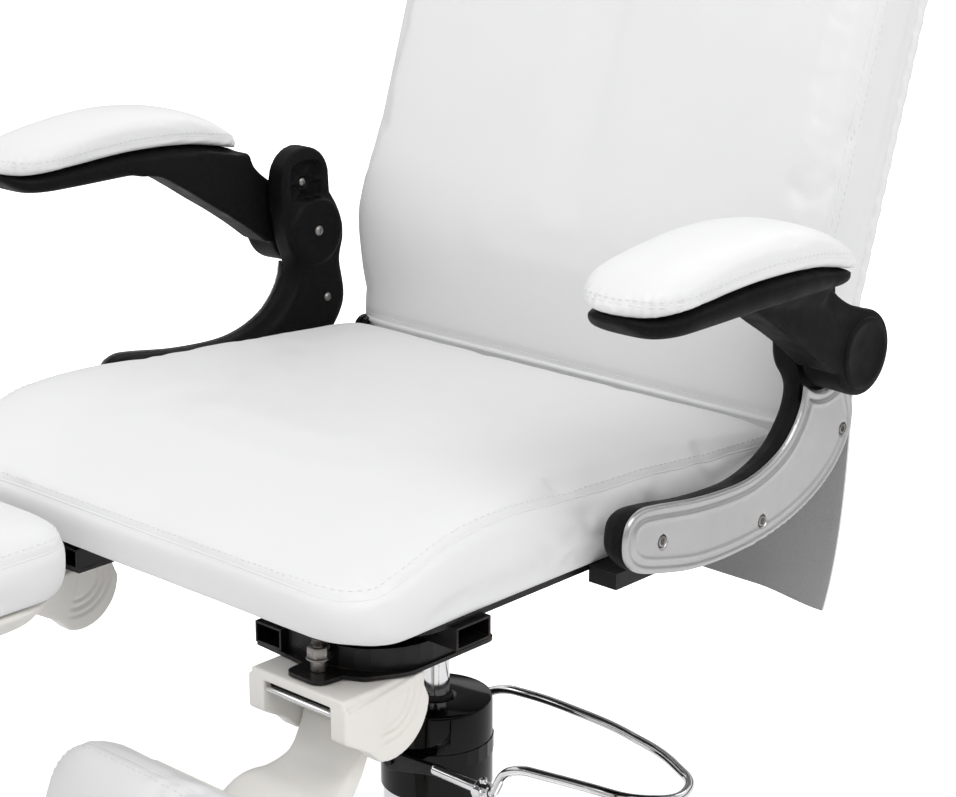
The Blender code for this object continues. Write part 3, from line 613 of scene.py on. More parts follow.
def thread():
    p = Paint("white_thread", (0.78, 0.78, 0.78), 0.6)
    p.bump(p.noise(2400, 2, (1, 1, 4)), 0.3, 0.0001)
    return p.mat


# Grey material for the skirt's inner face: painted shade standing in for the shadow behind the seat.
def skirt_painted_shade():
    p = Paint("skirt_painted_shade", (0.38, 0.38, 0.385), 0.8)
    p.patches(900, 3, 0.35, 0.7, (0.31, 0.31, 0.315))
    p.patches(7, 4, 0.35, 0.8, (0.46, 0.46, 0.465), 0.5)
    p.grain(1100, 3, 0.5, 0.0004)
    return p.mat


def black_plastic():
    p = Paint("black_plastic", (0.0030, 0.0030, 0.0034), 0.55, specular=0.12)
    p.patches(300, 3, 0.45, 0.75, (0.007, 0.007, 0.0075), 0.6)
    p.uneven(60, 4, 0.46, 0.62)
    p.bump(p.cells(900), 0.6, 0.0003)
    p.grain(700, 3, 0.3, 0.0002)
    return p.mat


def black_paint():
    p = Paint("black_paint", (0.004, 0.004, 0.0045), 0.34, specular=0.30)
    p.patches(45, 5, 0.5, 0.8, (0.012, 0.010, 0.0095), 0.7)
    p.tint(p.worn_edges(0.0012), (0.085, 0.055, 0.042))
    p.uneven(80, 4, 0.26, 0.44)
    p.grain(500, 3, 0.14, 0.00025)
    return p.mat


def black_gloss():
    p = Paint("black_gloss", (0.0010, 0.0010, 0.0012), 0.07, specular=0.22)
    p.uneven(18, 5, 0.035, 0.13)
    p.grain(9, 3, 0.05, 0.001)
    p.patches(220, 5, 0.66, 0.78, (0.012, 0.012, 0.012), 0.5)
    return p.mat


def ivory_plastic():
    p = Paint("ivory_plastic", (0.80, 0.785, 0.75), 0.34)
    p.patches(9, 4, 0.4, 0.8, (0.77, 0.74, 0.69), 0.7)
    p.uneven(40, 4, 0.28, 0.42)
    p.grain(160, 3, 0.06, 0.0004)
    p.grain(1300, 2, 0.10, 0.0001)
    p.shader.inputs["Subsurface Weight"].default_value = 0.08
    p.shader.inputs["Subsurface Radius"].default_value = (0.004, 0.003, 0.002)
    return p.mat


def silver_paint():
    p = Paint("silver_paint", (0.52, 0.515, 0.52), 0.32, 0.85)
    p.patches(2600, 2, 0.45, 0.75, (0.70, 0.695, 0.70))
    p.patches(12, 3, 0.4, 0.8, (0.48, 0.465, 0.47), 0.6)
    p.uneven(90, 4, 0.32, 0.42)
    p.grain(1100, 2, 0.10, 0.00015)
    return p.mat


def chrome():
    p = Paint("chrome", (0.80, 0.80, 0.81), 0.07, 1.0)
    p.uneven(30, 5, 0.035, 0.13)
    p.patches(60, 5, 0.55, 0.8, (0.62, 0.60, 0.58), 0.35)
    p.grain(12, 2, 0.03, 0.001)
    return p.mat


def zinc_steel():
    p = Paint("zinc_steel", (0.36, 0.345, 0.33), 0.34, 1.0)
    p.patches(160, 4, 0.35, 0.75, (0.24, 0.225, 0.21))
    p.tint(p.worn_edges(0.0006), (0.55, 0.54, 0.52))
    p.uneven(220, 4, 0.24, 0.46)
    p.grain(900, 3, 0.2, 0.0002)
    return p.mat


def rubber():
    p = Paint("rubber", (0.016, 0.016, 0.016), 0.75)
    p.patches(50, 4, 0.5, 0.8, (0.035, 0.034, 0.033))
    p.grain(800, 3, 0.4, 0.0003)
    return p.mat


def floor_white():
    """Pale floor that brightens to the backdrop's white away from the chair."""
    p = Paint("studio_floor", (0.90, 0.90, 0.90), 0.6)
    p.patches(0.4, 2, 0.3, 0.8, (0.88, 0.88, 0.88))
    p.grain(40, 2, 0.02, 0.001)
    length = p.node("VectorMath")
    length.operation = "LENGTH"
    p.links.new(p.coords.outputs["Object"], length.inputs[0])
    far = p.ramp(length.outputs["Value"], 0.40, 1.3)
    seen = p.times(far, p.node("LightPath").outputs["Is Camera Ray"])
    p.shader.inputs["Emission Color"].default_value = (1, 1, 1, 1)
    p.links.new(seen, p.shader.inputs["Emission Strength"])
    return p.mat


MATERIALS = {"leather": leatherette, "thread": thread, "skirt": skirt_painted_shade, "plastic": black_plastic,
             "paint": black_paint, "gloss": black_gloss, "ivory": ivory_plastic, "silver": silver_paint,
             "chrome": chrome, "steel": zinc_steel, "rubber": rubber, "floor": floor_white}
MAT = {key: maker() for key, maker in MATERIALS.items()}


# ---- soft goods: cloth, seams and stitches ----
def blown_up(obj, pressure):
    """Where a short cloth simulation under pressure takes the points."""
    cloth = obj.modifiers.new("padding", "CLOTH")
    settings = cloth.settings
    settings.quality = 3
    settings.use_pressure = True
    settings.uniform_pressure_force = pressure
    settings.effector_weights.gravity = 0
    settings.tension_stiffness = 20
    settings.compression_stiffness = 20
    settings.bending_stiffness = 2.0
    settings.shrink_min = -0.012
    cloth.point_cache.frame_end = CLOTH_FRAMES
    for step in range(1, CLOTH_FRAMES + 1):
        bpy.context.scene.frame_set(step)
    graph = bpy.context.evaluated_depsgraph_get()
    moved = [v.co.copy() for v in obj.evaluated_get(graph).data.vertices]
    obj.modifiers.clear()
    bpy.context.scene.frame_set(1)
    return moved


def puff(obj, voxel, pressure, cap, hold=None):
    """Remesh a cushion, blow it up, cap how far each point moves, and hold back where hold is low."""
    skinned(obj, voxel)
    bake(obj)
    rest = [v.co.copy() for v in obj.data.vertices]
    moved = blown_up(obj, pressure)
    for vertex, start, end in zip(obj.data.vertices, rest, moved):
        shift = end - start
        if shift.length > cap:
            shift *= cap / shift.length
        vertex.co = start + shift * (hold(start) if hold else 1.0)
    smooth = obj.modifiers.new("fine", "SUBSURF")
    smooth.levels = 1
    smooth.render_levels = 1
    return bake(obj)


def surface_of(obj):
    """Search tree over a mesh's faces."""
    bm = bmesh.new()
    bm.from_mesh(obj.data)
    tree = BVHTree.FromBMesh(bm)
    bm.free()
    return tree


def walk(points, step, closed):
    """Evenly spaced points along a path."""
    pts = list(points) + ([points[0]] if closed else [])
    total = sum((b - a).length for a, b in zip(pts, pts[1:]))
    count = max(2, round(total / step))
    out = []
    travelled = 0.0
    i = 0
    for k in range(count if closed else count + 1):
        target = total * k / count
        while i < len(pts) - 2 and travelled + (pts[i + 1] - pts[i]).length < target:
            travelled += (pts[i + 1] - pts[i]).length
            i += 1
        length = max((pts[i + 1] - pts[i]).length, 1e-9)
        out.append(pts[i].lerp(pts[i + 1], min(1.0, (target - travelled) / length)))
    return out


def snap(tree, points):
    """Nearest places on a surface, each with its normal."""
    return [tree.find_nearest(p)[:2] for p in points]


def laid_on(tree, points):
    return [place for place, _ in snap(tree, points)]


def near_tree(points):
    tree = KDTree(len(points))
    for i, p in enumerate(points):
        tree.insert(p, i)
    tree.balance()
    return tree


def press_seam(obj, paths, depth, width):
    """Sink the surface along seam paths."""
    tree = near_tree([p for path in paths for p in path])
    normals = [v.normal.copy() for v in obj.data.vertices]
    for vertex, normal in zip(obj.data.vertices, normals):
        _, _, gap = tree.find(vertex.co)
        if gap < width * 3:
            vertex.co = vertex.co - normal * depth * bell(gap, width)
    obj.data.update()


def seam_cord(name, obj, path, closed, radius=0.0007, sink=0.0003):
    """Thin raised fold where two panels meet."""
    tree = surface_of(obj)
    points = [place - normal * sink for place, normal in snap(tree, walk(path, 0.004, closed))]
    return rod_path(name, points, radius, 0.002, MAT["leather"], 1, closed)


def stitches(name, obj, path, closed, pitch=STITCH_PITCH, length=STITCH_LENGTH):
    """A row of thread stitches lying on a surface."""
    radius = STITCH_RADIUS
    tree = surface_of(obj)
    spots = walk(path, pitch, closed)
    bm = bmesh.new()
    count = len(spots)
    for i, p in enumerate(spots):
        ahead = spots[(i + 1) % count] if closed or i < count - 1 else p
        behind = spots[i - 1] if closed or i > 0 else p
        along = (ahead - behind).normalized()
        place, normal = tree.find_nearest(p)[:2]
        across = normal.cross(along).normalized()
        rings = []
        for offset, swell, rise in STITCH_SHAPE:
            middle = place + along * length * offset + normal * radius * rise
            reach = [across * cos(a) + normal * sin(a) for a in STITCH_ANGLES]
            rings.append([middle + way * radius * swell for way in reach])
        skin(bm, rings)
    return from_bmesh(name, bm, MAT["thread"], None)


def dress(obj, body, nodes=()):
    """Put a piece on its CAD body and hide the CAD nodes it stands for."""
    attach(obj, body)
    if nodes:
        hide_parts(*nodes)
    return obj


def paired(pieces):
    """Dress each (object, stem, body, slot, nodes) and its mirror image; the left leg's are turned down. The slot
    is not used.
    """
    there, back = Matrix.Translation(LEG_PITCH), Matrix.Translation(-LEG_PITCH)
    drop = there @ Matrix.Rotation(LEFT_LEG_DROP, 4, "X") @ back
    for obj, stem, body, slot_name, nodes in pieces:
        right = mirrored(obj, stem + "_right")
        obj.name = stem + "_left"
        if body == "leg":
            obj.data.transform(drop)
        for piece, side in ((obj, "left"), (right, "right")):
            body_name = "seat" if body == "seat" else body + "_" + side
            dress(piece, body_name, [n + "_" + side for n in nodes])


def rect_path(box, inset, corner, place, height):
    """Rounded rectangle at one height of a cushion's own frame, inset at its sides, near and far edge."""
    side, low, high = inset
    a0, b0, a1, b1 = box[0] + side, box[1] + low, box[2] - side, box[3] - high
    near, far = corner
    outline = rounded([(a0, b0, near), (a1, b0, near), (a1, b1, far), (a0, b1, far)], 10)
    return [Vector(place(p.x, p.y, height)) for p in dense_loop(outline, 0.005)]


# Height of the seat's seam along the seat, as (y, z).
SEAT_SEAM = ((-0.350, 0.6335), (-0.319, 0.6340), (-0.300, 0.6375), (-0.279, 0.6435), (-0.258, 0.6500),
             (-0.238, 0.6540), (-0.205, 0.6568), (-0.173, 0.6570), (-0.104, 0.6530), (-0.037, 0.6490),
             (0.037, 0.6430), (0.100, 0.6380), (0.135, 0.6355))
SEAT_FLOOR = SEAT_LOW.z - 0.0030
SEAT_REAR = 0.1500


def seat_place(x, y, level):
    """Seat cushion: level 0 is its underside, 1 its seam, 2 the crown."""
    low = SEAT_FLOOR + 0.0050 * (1 - smoothstep(-0.335, -0.285, y))
    seam = curve_value(SEAT_SEAM, y)
    if level <= 1:
        return (x, y, lerp(low, seam, level))
    hollow = 0.0040 * exp(-((y - 0.03) / 0.09) ** 2 - (x / 0.15) ** 2)
    return (x, y, seam + (level - 1) * (0.0112 - hollow))


def seat_cushion():
    """Seat upholstery with its seam and stitching."""
    half = SEAT_HIGH.x + 0.0015
    front = SEAT_LOW.y - 0.001
    rear = SEAT_REAR
    # inset at the sides, the front and the rear, and the level
    table = ((0.020, 0.030, 0.016, 0.0), (0.009, 0.014, 0.009, 0.02), (0.003, 0.005, 0.006, 0.12),
             (0.000, 0.001, 0.004, 0.35), (-0.001, -0.001, 0.002, 0.65), (0.000, 0.000, 0.001, 0.88),
             (0.003, 0.003, 0.001, 1.0), (0.008, 0.009, 0.003, 1.22), (0.018, 0.020, 0.007, 1.48),
             (0.038, 0.040, 0.014, 1.70), (0.070, 0.072, 0.030, 1.85), (0.115, 0.115, 0.070, 1.95),
             (0.170, 0.165, 0.130, 2.0), (0.225, 0.215, 0.200, 2.0))
    rings = [(-half + s, front + f, half - s, rear - r, level) for s, f, r, level in table]
    obj = ring_loft("seat_upholstery", rings, (0.042, 0.012), seat_place, MAT["leather"])

    def free(p):
        above = smoothstep(SEAT_FLOOR + 0.004, SEAT_FLOOR + 0.02, p.z)
        return above * (1 - smoothstep(rear - 0.02, rear - 0.004, p.y))

    puff(obj, CUSHION_VOXEL, 2.0, 0.0045, free)
    for vertex in obj.data.vertices:
        co = vertex.co
        under = 1 - smoothstep(SEAT_FLOOR + 0.010, SEAT_FLOOR + 0.050, co.z)
        co.x *= 1 - 0.12 * under * smoothstep(-0.02, rear, co.y)
        co.z = max(co.z, SEAT_FLOOR)
    tree = surface_of(obj)
    box = (-half, front, half, rear)
    seam = rect_path(box, (0.003, 0.003, 0.001), (0.040, 0.011), seat_place, 1.0)
    seam = laid_on(tree, walk(seam, SEAM_STEP, True))
    press_seam(obj, [seam], 0.0016, 0.0038)
    dress(obj, "seat", ["seat_cushion"])
    dress(seam_cord("seat_seam", obj, seam, True), "seat")
    row = rect_path(box, (0.009, 0.009, 0.004), (0.036, 0.010), seat_place, 1.3)
    dress(stitches("seat_stitching", obj, row, True), "seat")


def back_place(a, u, n):
    """World place of a point across (a), up (u) and in front (n) of the leaning back's pivot plane."""
    return (a, BACK_PIVOT.y - n * cos(BACK_LEAN) + u * sin(BACK_LEAN),
            BACK_PIVOT.z + n * sin(BACK_LEAN) + u * cos(BACK_LEAN))


def back_soft(a, u, n):
    """Place on the back cushion: its front swells above the waist and falls away at the lower edge."""
    swell = 0.0100 * smoothstep(0.02, 0.16, u) * (1 - 0.7 * smoothstep(0.34, 0.70, u))
    swell *= smoothstep(0.020, 0.034, n)
    fall = 0.0340 * (1 - smoothstep(-0.005, 0.120, u)) * smoothstep(-0.020, 0.034, n)
    return back_place(a, u, n + swell - fall)


BACK_HALF = 0.2550
BACK_TOP = 0.740
BACK_REAR = -0.0430


def backrest():
    """Back upholstery with its seams, the piped lower edge and the stitching."""
    half, top, rear = BACK_HALF, BACK_TOP, BACK_REAR
    low = -0.0055
    lower_seam_front = 0.039
    # inset from the outline, and the depth in front of the pivot plane
    table = ((0.008, rear), (0.0035, rear + 0.002), (0.0025, -0.036), (0.0020, -0.010), (0.0015, 0.010),
             (0.0008, 0.0215), (0.0008, 0.0255), (0.003, 0.0300), (0.008, 0.0340), (0.017, 0.0368),
             (0.038, 0.0388), (0.070, 0.0402), (0.115, 0.0412), (0.170, 0.0417), (0.225, 0.0418))
    rings = [(-half + s, low + s * 0.6, half - s, top - s, n) for s, n in table]
    obj = ring_loft("back_upholstery", rings, (0.022, 0.046), back_soft, MAT["leather"])
    lean_normal = Vector((0, -cos(BACK_LEAN), sin(BACK_LEAN)))
    puff(obj, CUSHION_VOXEL, 2.2, 0.0035,
         lambda p: smoothstep(rear + 0.002, rear + 0.02, (p - BACK_PIVOT).dot(lean_normal)))
    for vertex in obj.data.vertices:
        depth = (vertex.co - BACK_PIVOT).dot(lean_normal)
        if depth < rear:
            vertex.co += lean_normal * (rear - depth)
    tree = surface_of(obj)
    box = (-half, low, half, top)
    seam = rect_path(box, (0.002, 0.002, 0.002), (0.021, 0.045), back_soft, 0.0235)
    seam = laid_on(tree, walk(seam, SEAM_STEP, True))
    span = even(-half + 0.010, half - 0.010, 80)
    low_rows = []
    for up in (0.0030, 0.0150):
        low_rows.append(laid_on(tree, [Vector(back_soft(x, up, lower_seam_front)) for x in span]))
    press_seam(obj, [seam] + low_rows, 0.0013, 0.0032)
    dress(obj, "back", ["back_cushion"])
    dress(seam_cord("back_seam", obj, seam, True), "back")
    piping = [Vector(back_soft(x, 0.0090, lower_seam_front)) for x in span]
    dress(seam_cord("back_lower_piping", obj, piping, False, 0.0026, 0.0010), "back")
    row = rect_path(box, (0.004, 0.005, 0.004), (0.020, 0.043), back_soft, 0.0185)
    dress(stitches("back_stitching", obj, row, True), "back")
    dress(stitches("back_lower_stitching", obj, low_rows[1], False), "back")


def back_panel():
    """Upholstered board on the rear face of the back."""
    half = BACK_HALF - 0.0030
    low, top = 0.006, BACK_TOP - 0.001
    front = BACK_REAR - 0.0003
    # inset from the outline, and the depth behind the front
    table = ((0.004, 0.0), (0.0010, 0.0008), (0.0000, 0.006), (0.0010, 0.0110), (0.006, 0.0130),
             (0.030, 0.0138), (0.120, 0.0140), (0.220, 0.0140))
    rings = [(-half + s, low + s, half - s, top - s, front - depth) for s, depth in table]
    obj = ring_loft("back_panel_cover", rings, (0.024, 0.048), back_place, MAT["leather"])
    puff(obj, CUSHION_VOXEL, 0.6, 0.0008)
    dress(obj, "back", ["back_panel"])
    inset = (0.018, 0.018, 0.019)
    row = rect_path((-half, low, half, top), inset, (0.020, 0.036), back_place, front - 0.0138)
    dress(stitches("back_panel_stitching", obj, row, True), "back")


def rear_skirt():
    """Curved sheet behind the seat: white outside and at its edges, grey inside as painted shade."""
    spine = [Vector(back_place(0, 0.125, -0.0578)[1:]), Vector((0.2385, 0.690)), Vector((0.2560, 0.545)),
             Vector((0.2170, 0.4615))]
    rows = 48
    columns = 60
    thick = 0.0030
    half = 0.2490
    bm = bmesh.new()
    faces = {}
    for layer in (0, 1):
        grid = []
        for k in range(rows + 1):
            t = k / rows
            s = 1 - t
            p = spine[0] * s ** 3 + spine[1] * 3 * s * s * t + spine[2] * 3 * s * t * t + spine[3] * t ** 3
            line = []
            wide = half * lerp(0.955, 1.0, smoothstep(0.0, 0.45, t))
            for c in range(columns + 1):
                x = -wide + 2 * wide * c / columns
                edge = smoothstep(0.72, 1.0, abs(x) / wide)
                ripple = 0.0014 * sin(x * 19 + 1.3) * t * t
                lift = 0.007 * (1 - edge) * t ** 3
                line.append(bm.verts.new((x, p.x + ripple + thick * layer, p.y + lift)))
            grid.append(line)
        faces[layer] = grid
        for k in range(rows):
            for c in range(columns):
                quad = (grid[k][c], grid[k][c + 1], grid[k + 1][c + 1], grid[k + 1][c])
                # Inner faces take the grey painted-shade material, outer faces the white leatherette.
                bm.faces.new(quad if layer else quad[::-1]).material_index = 0 if layer else 1
    inner, outer = faces[0], faces[1]
    rim = [(inner[0], outer[0]), (inner[-1], outer[-1]),
           ([r[0] for r in inner], [r[0] for r in outer]), ([r[-1] for r in inner], [r[-1] for r in outer])]
    for a, b in rim:
        for i in range(len(a) - 1):
            bm.faces.new((a[i], a[i + 1], b[i + 1], b[i])).material_index = 0
    obj = from_bmesh("rear_skirt_sheet", bm, MAT["leather"], 60)
    obj.data.materials.append(MAT["skirt"])
    bevelled(obj, 0.0008, 2, 60)
    dress(obj, "back", ["rear_skirt"])


PAD_START = -0.1930
PAD_END = 0.0780
PAD_HALF = 0.0425
# Side view of the arm rest as (y, z): the pad's top and underside, and the underside of its dish.
PAD_TOP = ((-0.1930, 0.8285), (-0.1860, 0.8350), (-0.1600, 0.8455), (-0.0800, 0.8575), (-0.0150, 0.8540),
           (0.0300, 0.8410), (0.0600, 0.8235), (0.0780, 0.8085))
PAD_LOW = ((-0.1930, 0.8215), (-0.1720, 0.8185), (-0.1300, 0.8210), (-0.0600, 0.8245), (0.0000, 0.8215),
           (0.0400, 0.8145), (0.0780, 0.8055))
DECK_LOW = ((-0.1900, 0.8160), (-0.1800, 0.8075), (-0.1700, 0.8025), (-0.1350, 0.8010), (-0.0500, 0.8012),
            (0.0000, 0.8000), (0.0400, 0.7990), (0.0760, 0.8000))


def pad_half_width(y, start=PAD_START, end=PAD_END, widest=PAD_HALF):
    """Plan of the pad: round nose, full middle, tail drawn in."""
    nose = sqrt(max(0.0, 1 - (1 - clamped((y - start) / 0.052)) ** 2))
    tail = sqrt(max(0.0, 1 - (1 - clamped((end - y) / 0.034)) ** 2))
    taper = 1 - 0.22 * smoothstep(-0.05, end, y)
    return max(0.0015, widest * nose * tail * taper)


def eased(first, last, steps):
    """Values from first to last that lie close together at both ends."""
    return [lerp(first, last, 0.5 - 0.5 * cos(pi * k / steps)) for k in range(steps + 1)]


def arm_pad(mat):
    sections = []
    around = 36
    for y in eased(PAD_START + 0.0006, PAD_END - 0.0006, 56):
        width = pad_half_width(y)
        top, low = curve_value(PAD_TOP, y), curve_value(PAD_LOW, y)
        fullness = clamped(width / 0.030)
        middle = lerp(low, top, 0.34)
        ring = []
        for i in range(around):
            angle = 2 * pi * i / around
            c, s = cos(angle), sin(angle)
            x = HUB.x + width * signed(c, 0.72)
            if s >= 0:
                z = middle + (top - middle) * (s ** 0.85) * (0.6 + 0.4 * fullness)
            else:
                z = middle - (middle - low) * (abs(s) ** 0.45)
            ring.append((x, y, z))
        sections.append(ring)
    obj = section_loft("arm_pad_cover", sections, mat)
    puff(obj, PAD_VOXEL, 3.0, 0.0022, lambda p: smoothstep(0.0, 0.006, p.z - curve_value(PAD_LOW, p.y)))
    for vertex in obj.data.vertices:
        vertex.co.z = max(vertex.co.z, curve_value(PAD_LOW, vertex.co.y))
    return obj


def pad_path(inset, rise):
    """Seam line round the pad at a height above its lower edge, from tail to tail."""
    points = []
    rows = eased(PAD_START + 0.0012, PAD_END - 0.004, 60)
    for side, ordered in ((1, rows[::-1]), (-1, rows)):
        for y in ordered:
            width = pad_half_width(y) - inset
            points.append(Vector((HUB.x + side * max(width, 0.0), y, curve_value(PAD_LOW, y) + rise)))
    return points


def gather(obj, path, start):
    """Puckers that fan out from the seam round the nose of the pad."""
    tree = near_tree(path)
    for vertex in obj.data.vertices:
        near = 1 - smoothstep(start + 0.045, start + 0.10, vertex.co.y)
        if near <= 0:
            continue
        _, _, gap = tree.find(vertex.co)
        angle = atan2(vertex.co.x - HUB.x, -(vertex.co.y - start - 0.05))
        wave = sin(angle * 27 + 0.9 * sin(angle * 9)) * 0.5 + 0.5 * sin(angle * 41 + 2.0)
        vertex.co += vertex.normal * 0.0009 * wave * near * bell(gap, 0.0075)
    obj.data.update()


def arm_deck():
    """Shallow dish under the pad."""
    start, end = PAD_START + 0.0040, PAD_END - 0.0050
    sections = []
    for y in eased(start, end, 40):
        width = pad_half_width(y, start - 0.004, end + 0.003, PAD_HALF - 0.0045)
        top = curve_value(PAD_LOW, y) - 0.0003
        low = min(curve_value(DECK_LOW, y), top - 0.003)
        ring = []
        for i in range(28):
            angle = 2 * pi * i / 28
            c, s = cos(angle), sin(angle)
            narrowing = 1.0 if s > 0 else lerp(1.0, 0.80, -s)
            x = HUB.x + width * signed(c, 0.6) * narrowing
            z = lerp(low, top, 0.5 + 0.5 * signed(s, 0.4))
            ring.append((x, y, z))
        sections.append(ring)
    return section_loft("arm_deck", sections)


ARM_FACE = 0.3372


def arm_body():
    """Moulded arm: dish under the pad, a web that falls from it, and the barrel of the hub."""
    rising = through([(0.0895, 0.7180), (0.0670, 0.7350), (0.0430, 0.7515), (0.0190, 0.7665),
                      (-0.0090, 0.7845), (-0.0340, 0.7985), (-0.0600, 0.8030)], 5)
    rear = through([(0.0720, 0.8035), (0.0750, 0.7940), (0.0870, 0.7820), (0.1080, 0.7690),
                    (0.1320, 0.7610)], 5)
    outline = rising + [Vector((-0.0600, 0.8180)), Vector((0.0200, 0.8150))] + rear
    outline += arc((HUB.y, HUB.z), 0.0335, 82, -165, 24)
    web = prism("arm_web", dense_loop(outline, 0.003), "x", 0.3005, ARM_FACE - 0.0010)
    bevelled(web, 0.0080, 4)
    taper = softened_profile([(0.0, 0.2992), (0.0325, 0.2992), (0.0345, ARM_FACE), (0.0, ARM_FACE)], 0.0035)
    barrel = turned("arm_barrel", taper, None, (0, HUB.y, HUB.z), "x", 64)
    shoulder = section_loft("arm_shoulder", shoulder_sections())
    return fused("arm_body", [web, barrel, shoulder, arm_deck()], 0.0017, 14, MAT["plastic"])


def hub_cap():
    """Round cap on the hub's outer face, dished, with a fine rim."""
    face = ARM_FACE - 0.0004
    steps = ((0.0, -0.004), (0.0285, -0.004), (0.0290, 0.0), (0.0280, 0.0016), (0.0255, 0.0022),
             (0.0235, 0.0020), (0.0200, 0.0010), (0.0100, 0.0007), (0.0, 0.0006))
    profile = [(r, face + rise) for r, rise in steps]
    return turned("arm_hub_cap", profile, MAT["plastic"], (0, HUB.y, HUB.z), "x", 64)


def carrier_outline():
    """Foot, rising neck, hub and the tab over it."""
    right = [(0.1465, 0.7620), (0.1560, 0.7470), (0.1630, 0.7270), (0.1625, 0.7010)]
    left = [(0.1000, 0.7000), (0.0925, 0.7220), (0.0862, 0.7500)]
    line = through(right + [(p[0] + 0.001, p[1] - 0.001) for p in FOOT_LINE[1:]][:-1] + left, 6)
    return line + arc((0.1158, 0.7785), 0.0298, 178, 2, 20)


def arm_carrier():
    """Moulded carrier, its inner edge drawn in along the foot, with the hub boss and the ribbed pocket."""
    outline = carrier_outline()
    rings = []
    for x, shrink, everywhere in ((0.2990, 0.0008, 0.0), (0.2978, 0.0, 0.0), (0.2880, 0.0005, 0.0),
                                  (0.2800, 0.0035, 0.0), (0.2762, 0.0060, 0.0), (0.2750, 0.0090, 0.0012)):
        loop = drawn_in(outline, lambda p: shrink * (1 - smoothstep(0.690, 0.715, p.y)) + everywhere)
        rings.append([(min(x, 0.2955) if p.y > 0.684 else x, p.x, p.y) for p in loop])
    plate = section_loft("carrier_plate", rings)
    round_end = softened_profile([(0.0, 0.2712), (0.0300, 0.2712), (0.0325, 0.2745), (0.0325, 0.2950),
                                  (0.0, 0.2950)], 0.0015)
    boss = turned("carrier_boss", round_end, None, (0, HUB.y, HUB.z), "x", 64)
    obj = fused("arm_carrier", [plate, boss], 0.0016, 3, MAT["plastic"])
    pocket = rounded([(0.097, 0.757, 0.006), (0.136, 0.757, 0.006), (0.1375, 0.796, 0.016),
                      (0.0945, 0.796, 0.016)], 6)
    a = np.array([tuple(p) for p in pocket])
    b = np.roll(a, -1, axis=0)
    facing = [v for v in obj.data.vertices if v.co.x < CARRIER_INNER + 0.004 and v.normal.x < -0.3]
    flat = np.array([(v.co.y, v.co.z) for v in facing])
    for vertex, is_in, edge in zip(facing, inside(flat, a, b), edge_distance(flat, a, b)):
        if is_in:
            y, z = vertex.co.y - 0.1160, vertex.co.z - 0.7750
            reach = hypot(y, z)
            ring = bell(reach - 0.0070, 0.0012)
            spoke = max(bell(y + 0.6 * z, 0.0013), bell(y - 0.6 * z, 0.0013), bell(z, 0.0012))
            if reach <= 0.007:
                spoke = 0
            depth = 0.0068 * smoothstep(0.0, 0.0022, edge)
            vertex.co.x += depth * (1 - 0.7 * min(1.0, max(ring, spoke)))
    obj.data.update()
    return obj


# Outline of the arm carrier's foot as (y, z), from the rear of its neck round its front and back up.
FOOT_LINE = ((0.1600, 0.6895), (0.1680, 0.6640), (0.1625, 0.6420), (0.1440, 0.6200), (0.1140, 0.6020),
             (0.0720, 0.5890), (0.0220, 0.5835), (-0.0300, 0.5850), (-0.0720, 0.5930), (-0.1020, 0.6020),
             (-0.1160, 0.6140), (-0.1185, 0.6290), (-0.1140, 0.6430), (-0.1010, 0.6500), (-0.0810, 0.6490),
             (-0.0330, 0.6420), (0.0170, 0.6395), (0.0480, 0.6440), (0.0740, 0.6550), (0.0900, 0.6700),
             (0.0985, 0.6850), (0.1010, 0.6990))
# Screw holes of the silver cover as (y, z, radius).
COVER_HOLES = ((0.1540, 0.6520, 0.0052), (0.0490, 0.6020, 0.0052), (-0.0750, 0.6195, 0.0052))


def cover_outline():
    foot = through(FOOT_LINE, 6)
    return foot + arc((HUB.y, HUB.z), 0.0365, 230, 303, 12)


def shoulder_sections():
    """Flare that carries the web out to the dish's full width."""
    out = []
    for k in range(11):
        t = k / 10
        y0, y1 = lerp(0.000, -0.070, t), lerp(0.072, 0.070, t)
        x1 = lerp(ARM_FACE - 0.002, HUB.x + 0.030, t ** 1.6)
        z0 = lerp(0.7800, 0.8060, t)
        corners = [(0.3010, y0, 0.004), (x1, y0, 0.006), (x1 - 0.008 * t, y1, 0.006), (0.3010, y1, 0.004)]
        ring = rounded(corners, 4)
        out.append([(p.x, p.y, z0 + 0.25 * (0.02 - p.y) * (1 - t)) for p in ring])
    return out


def cover_relief(gap):
    """Rounded outer edge, a pressed groove, a bead and the flat middle of the silver cover."""
    radius = 0.0030
    edge = min(gap, radius)
    round_over = sqrt(max(0.0, radius ** 2 - (radius - edge) ** 2)) - radius
    groove = 0.0012 * bell(gap - 0.0070, 0.0015)
    bead = 0.0009 * bell(gap - 0.0110, 0.0017)
    return round_over - groove + bead


def arm_cover():
    return relief_plate("arm_cover", cover_outline(), COVER_HOLES, "x", 0.2994, COVER_OUTER - 0.0008,
                        cover_relief, MAT["silver"])


def sunk_screw(name, centre, x, side):
    """Socket screw head lying in a hole."""
    profile = softened_profile([(0.0, 0.0), (0.0044, 0.0), (0.0044, 0.0030), (0.0026, 0.0034),
                                (0.0022, 0.0012), (0.0, 0.0012)], 0.0003, 2)
    return turned(name, [(r, side * h) for r, h in profile], MAT["steel"], (x, *centre), "x", 24)


def pan_screw(name, centre, x, side, radius=0.0050):
    """Raised screw head with a round recess in its top."""
    profile = [(0.0, 0.0), (radius, 0.0), (radius, 0.0006), (radius * 0.8, 0.0019), (radius * 0.4, 0.0026),
               (radius * 0.28, 0.0014), (0.0, 0.0014)]
    return turned(name, [(r, side * h) for r, h in profile], MAT["steel"], (x, *centre), "x", 24)


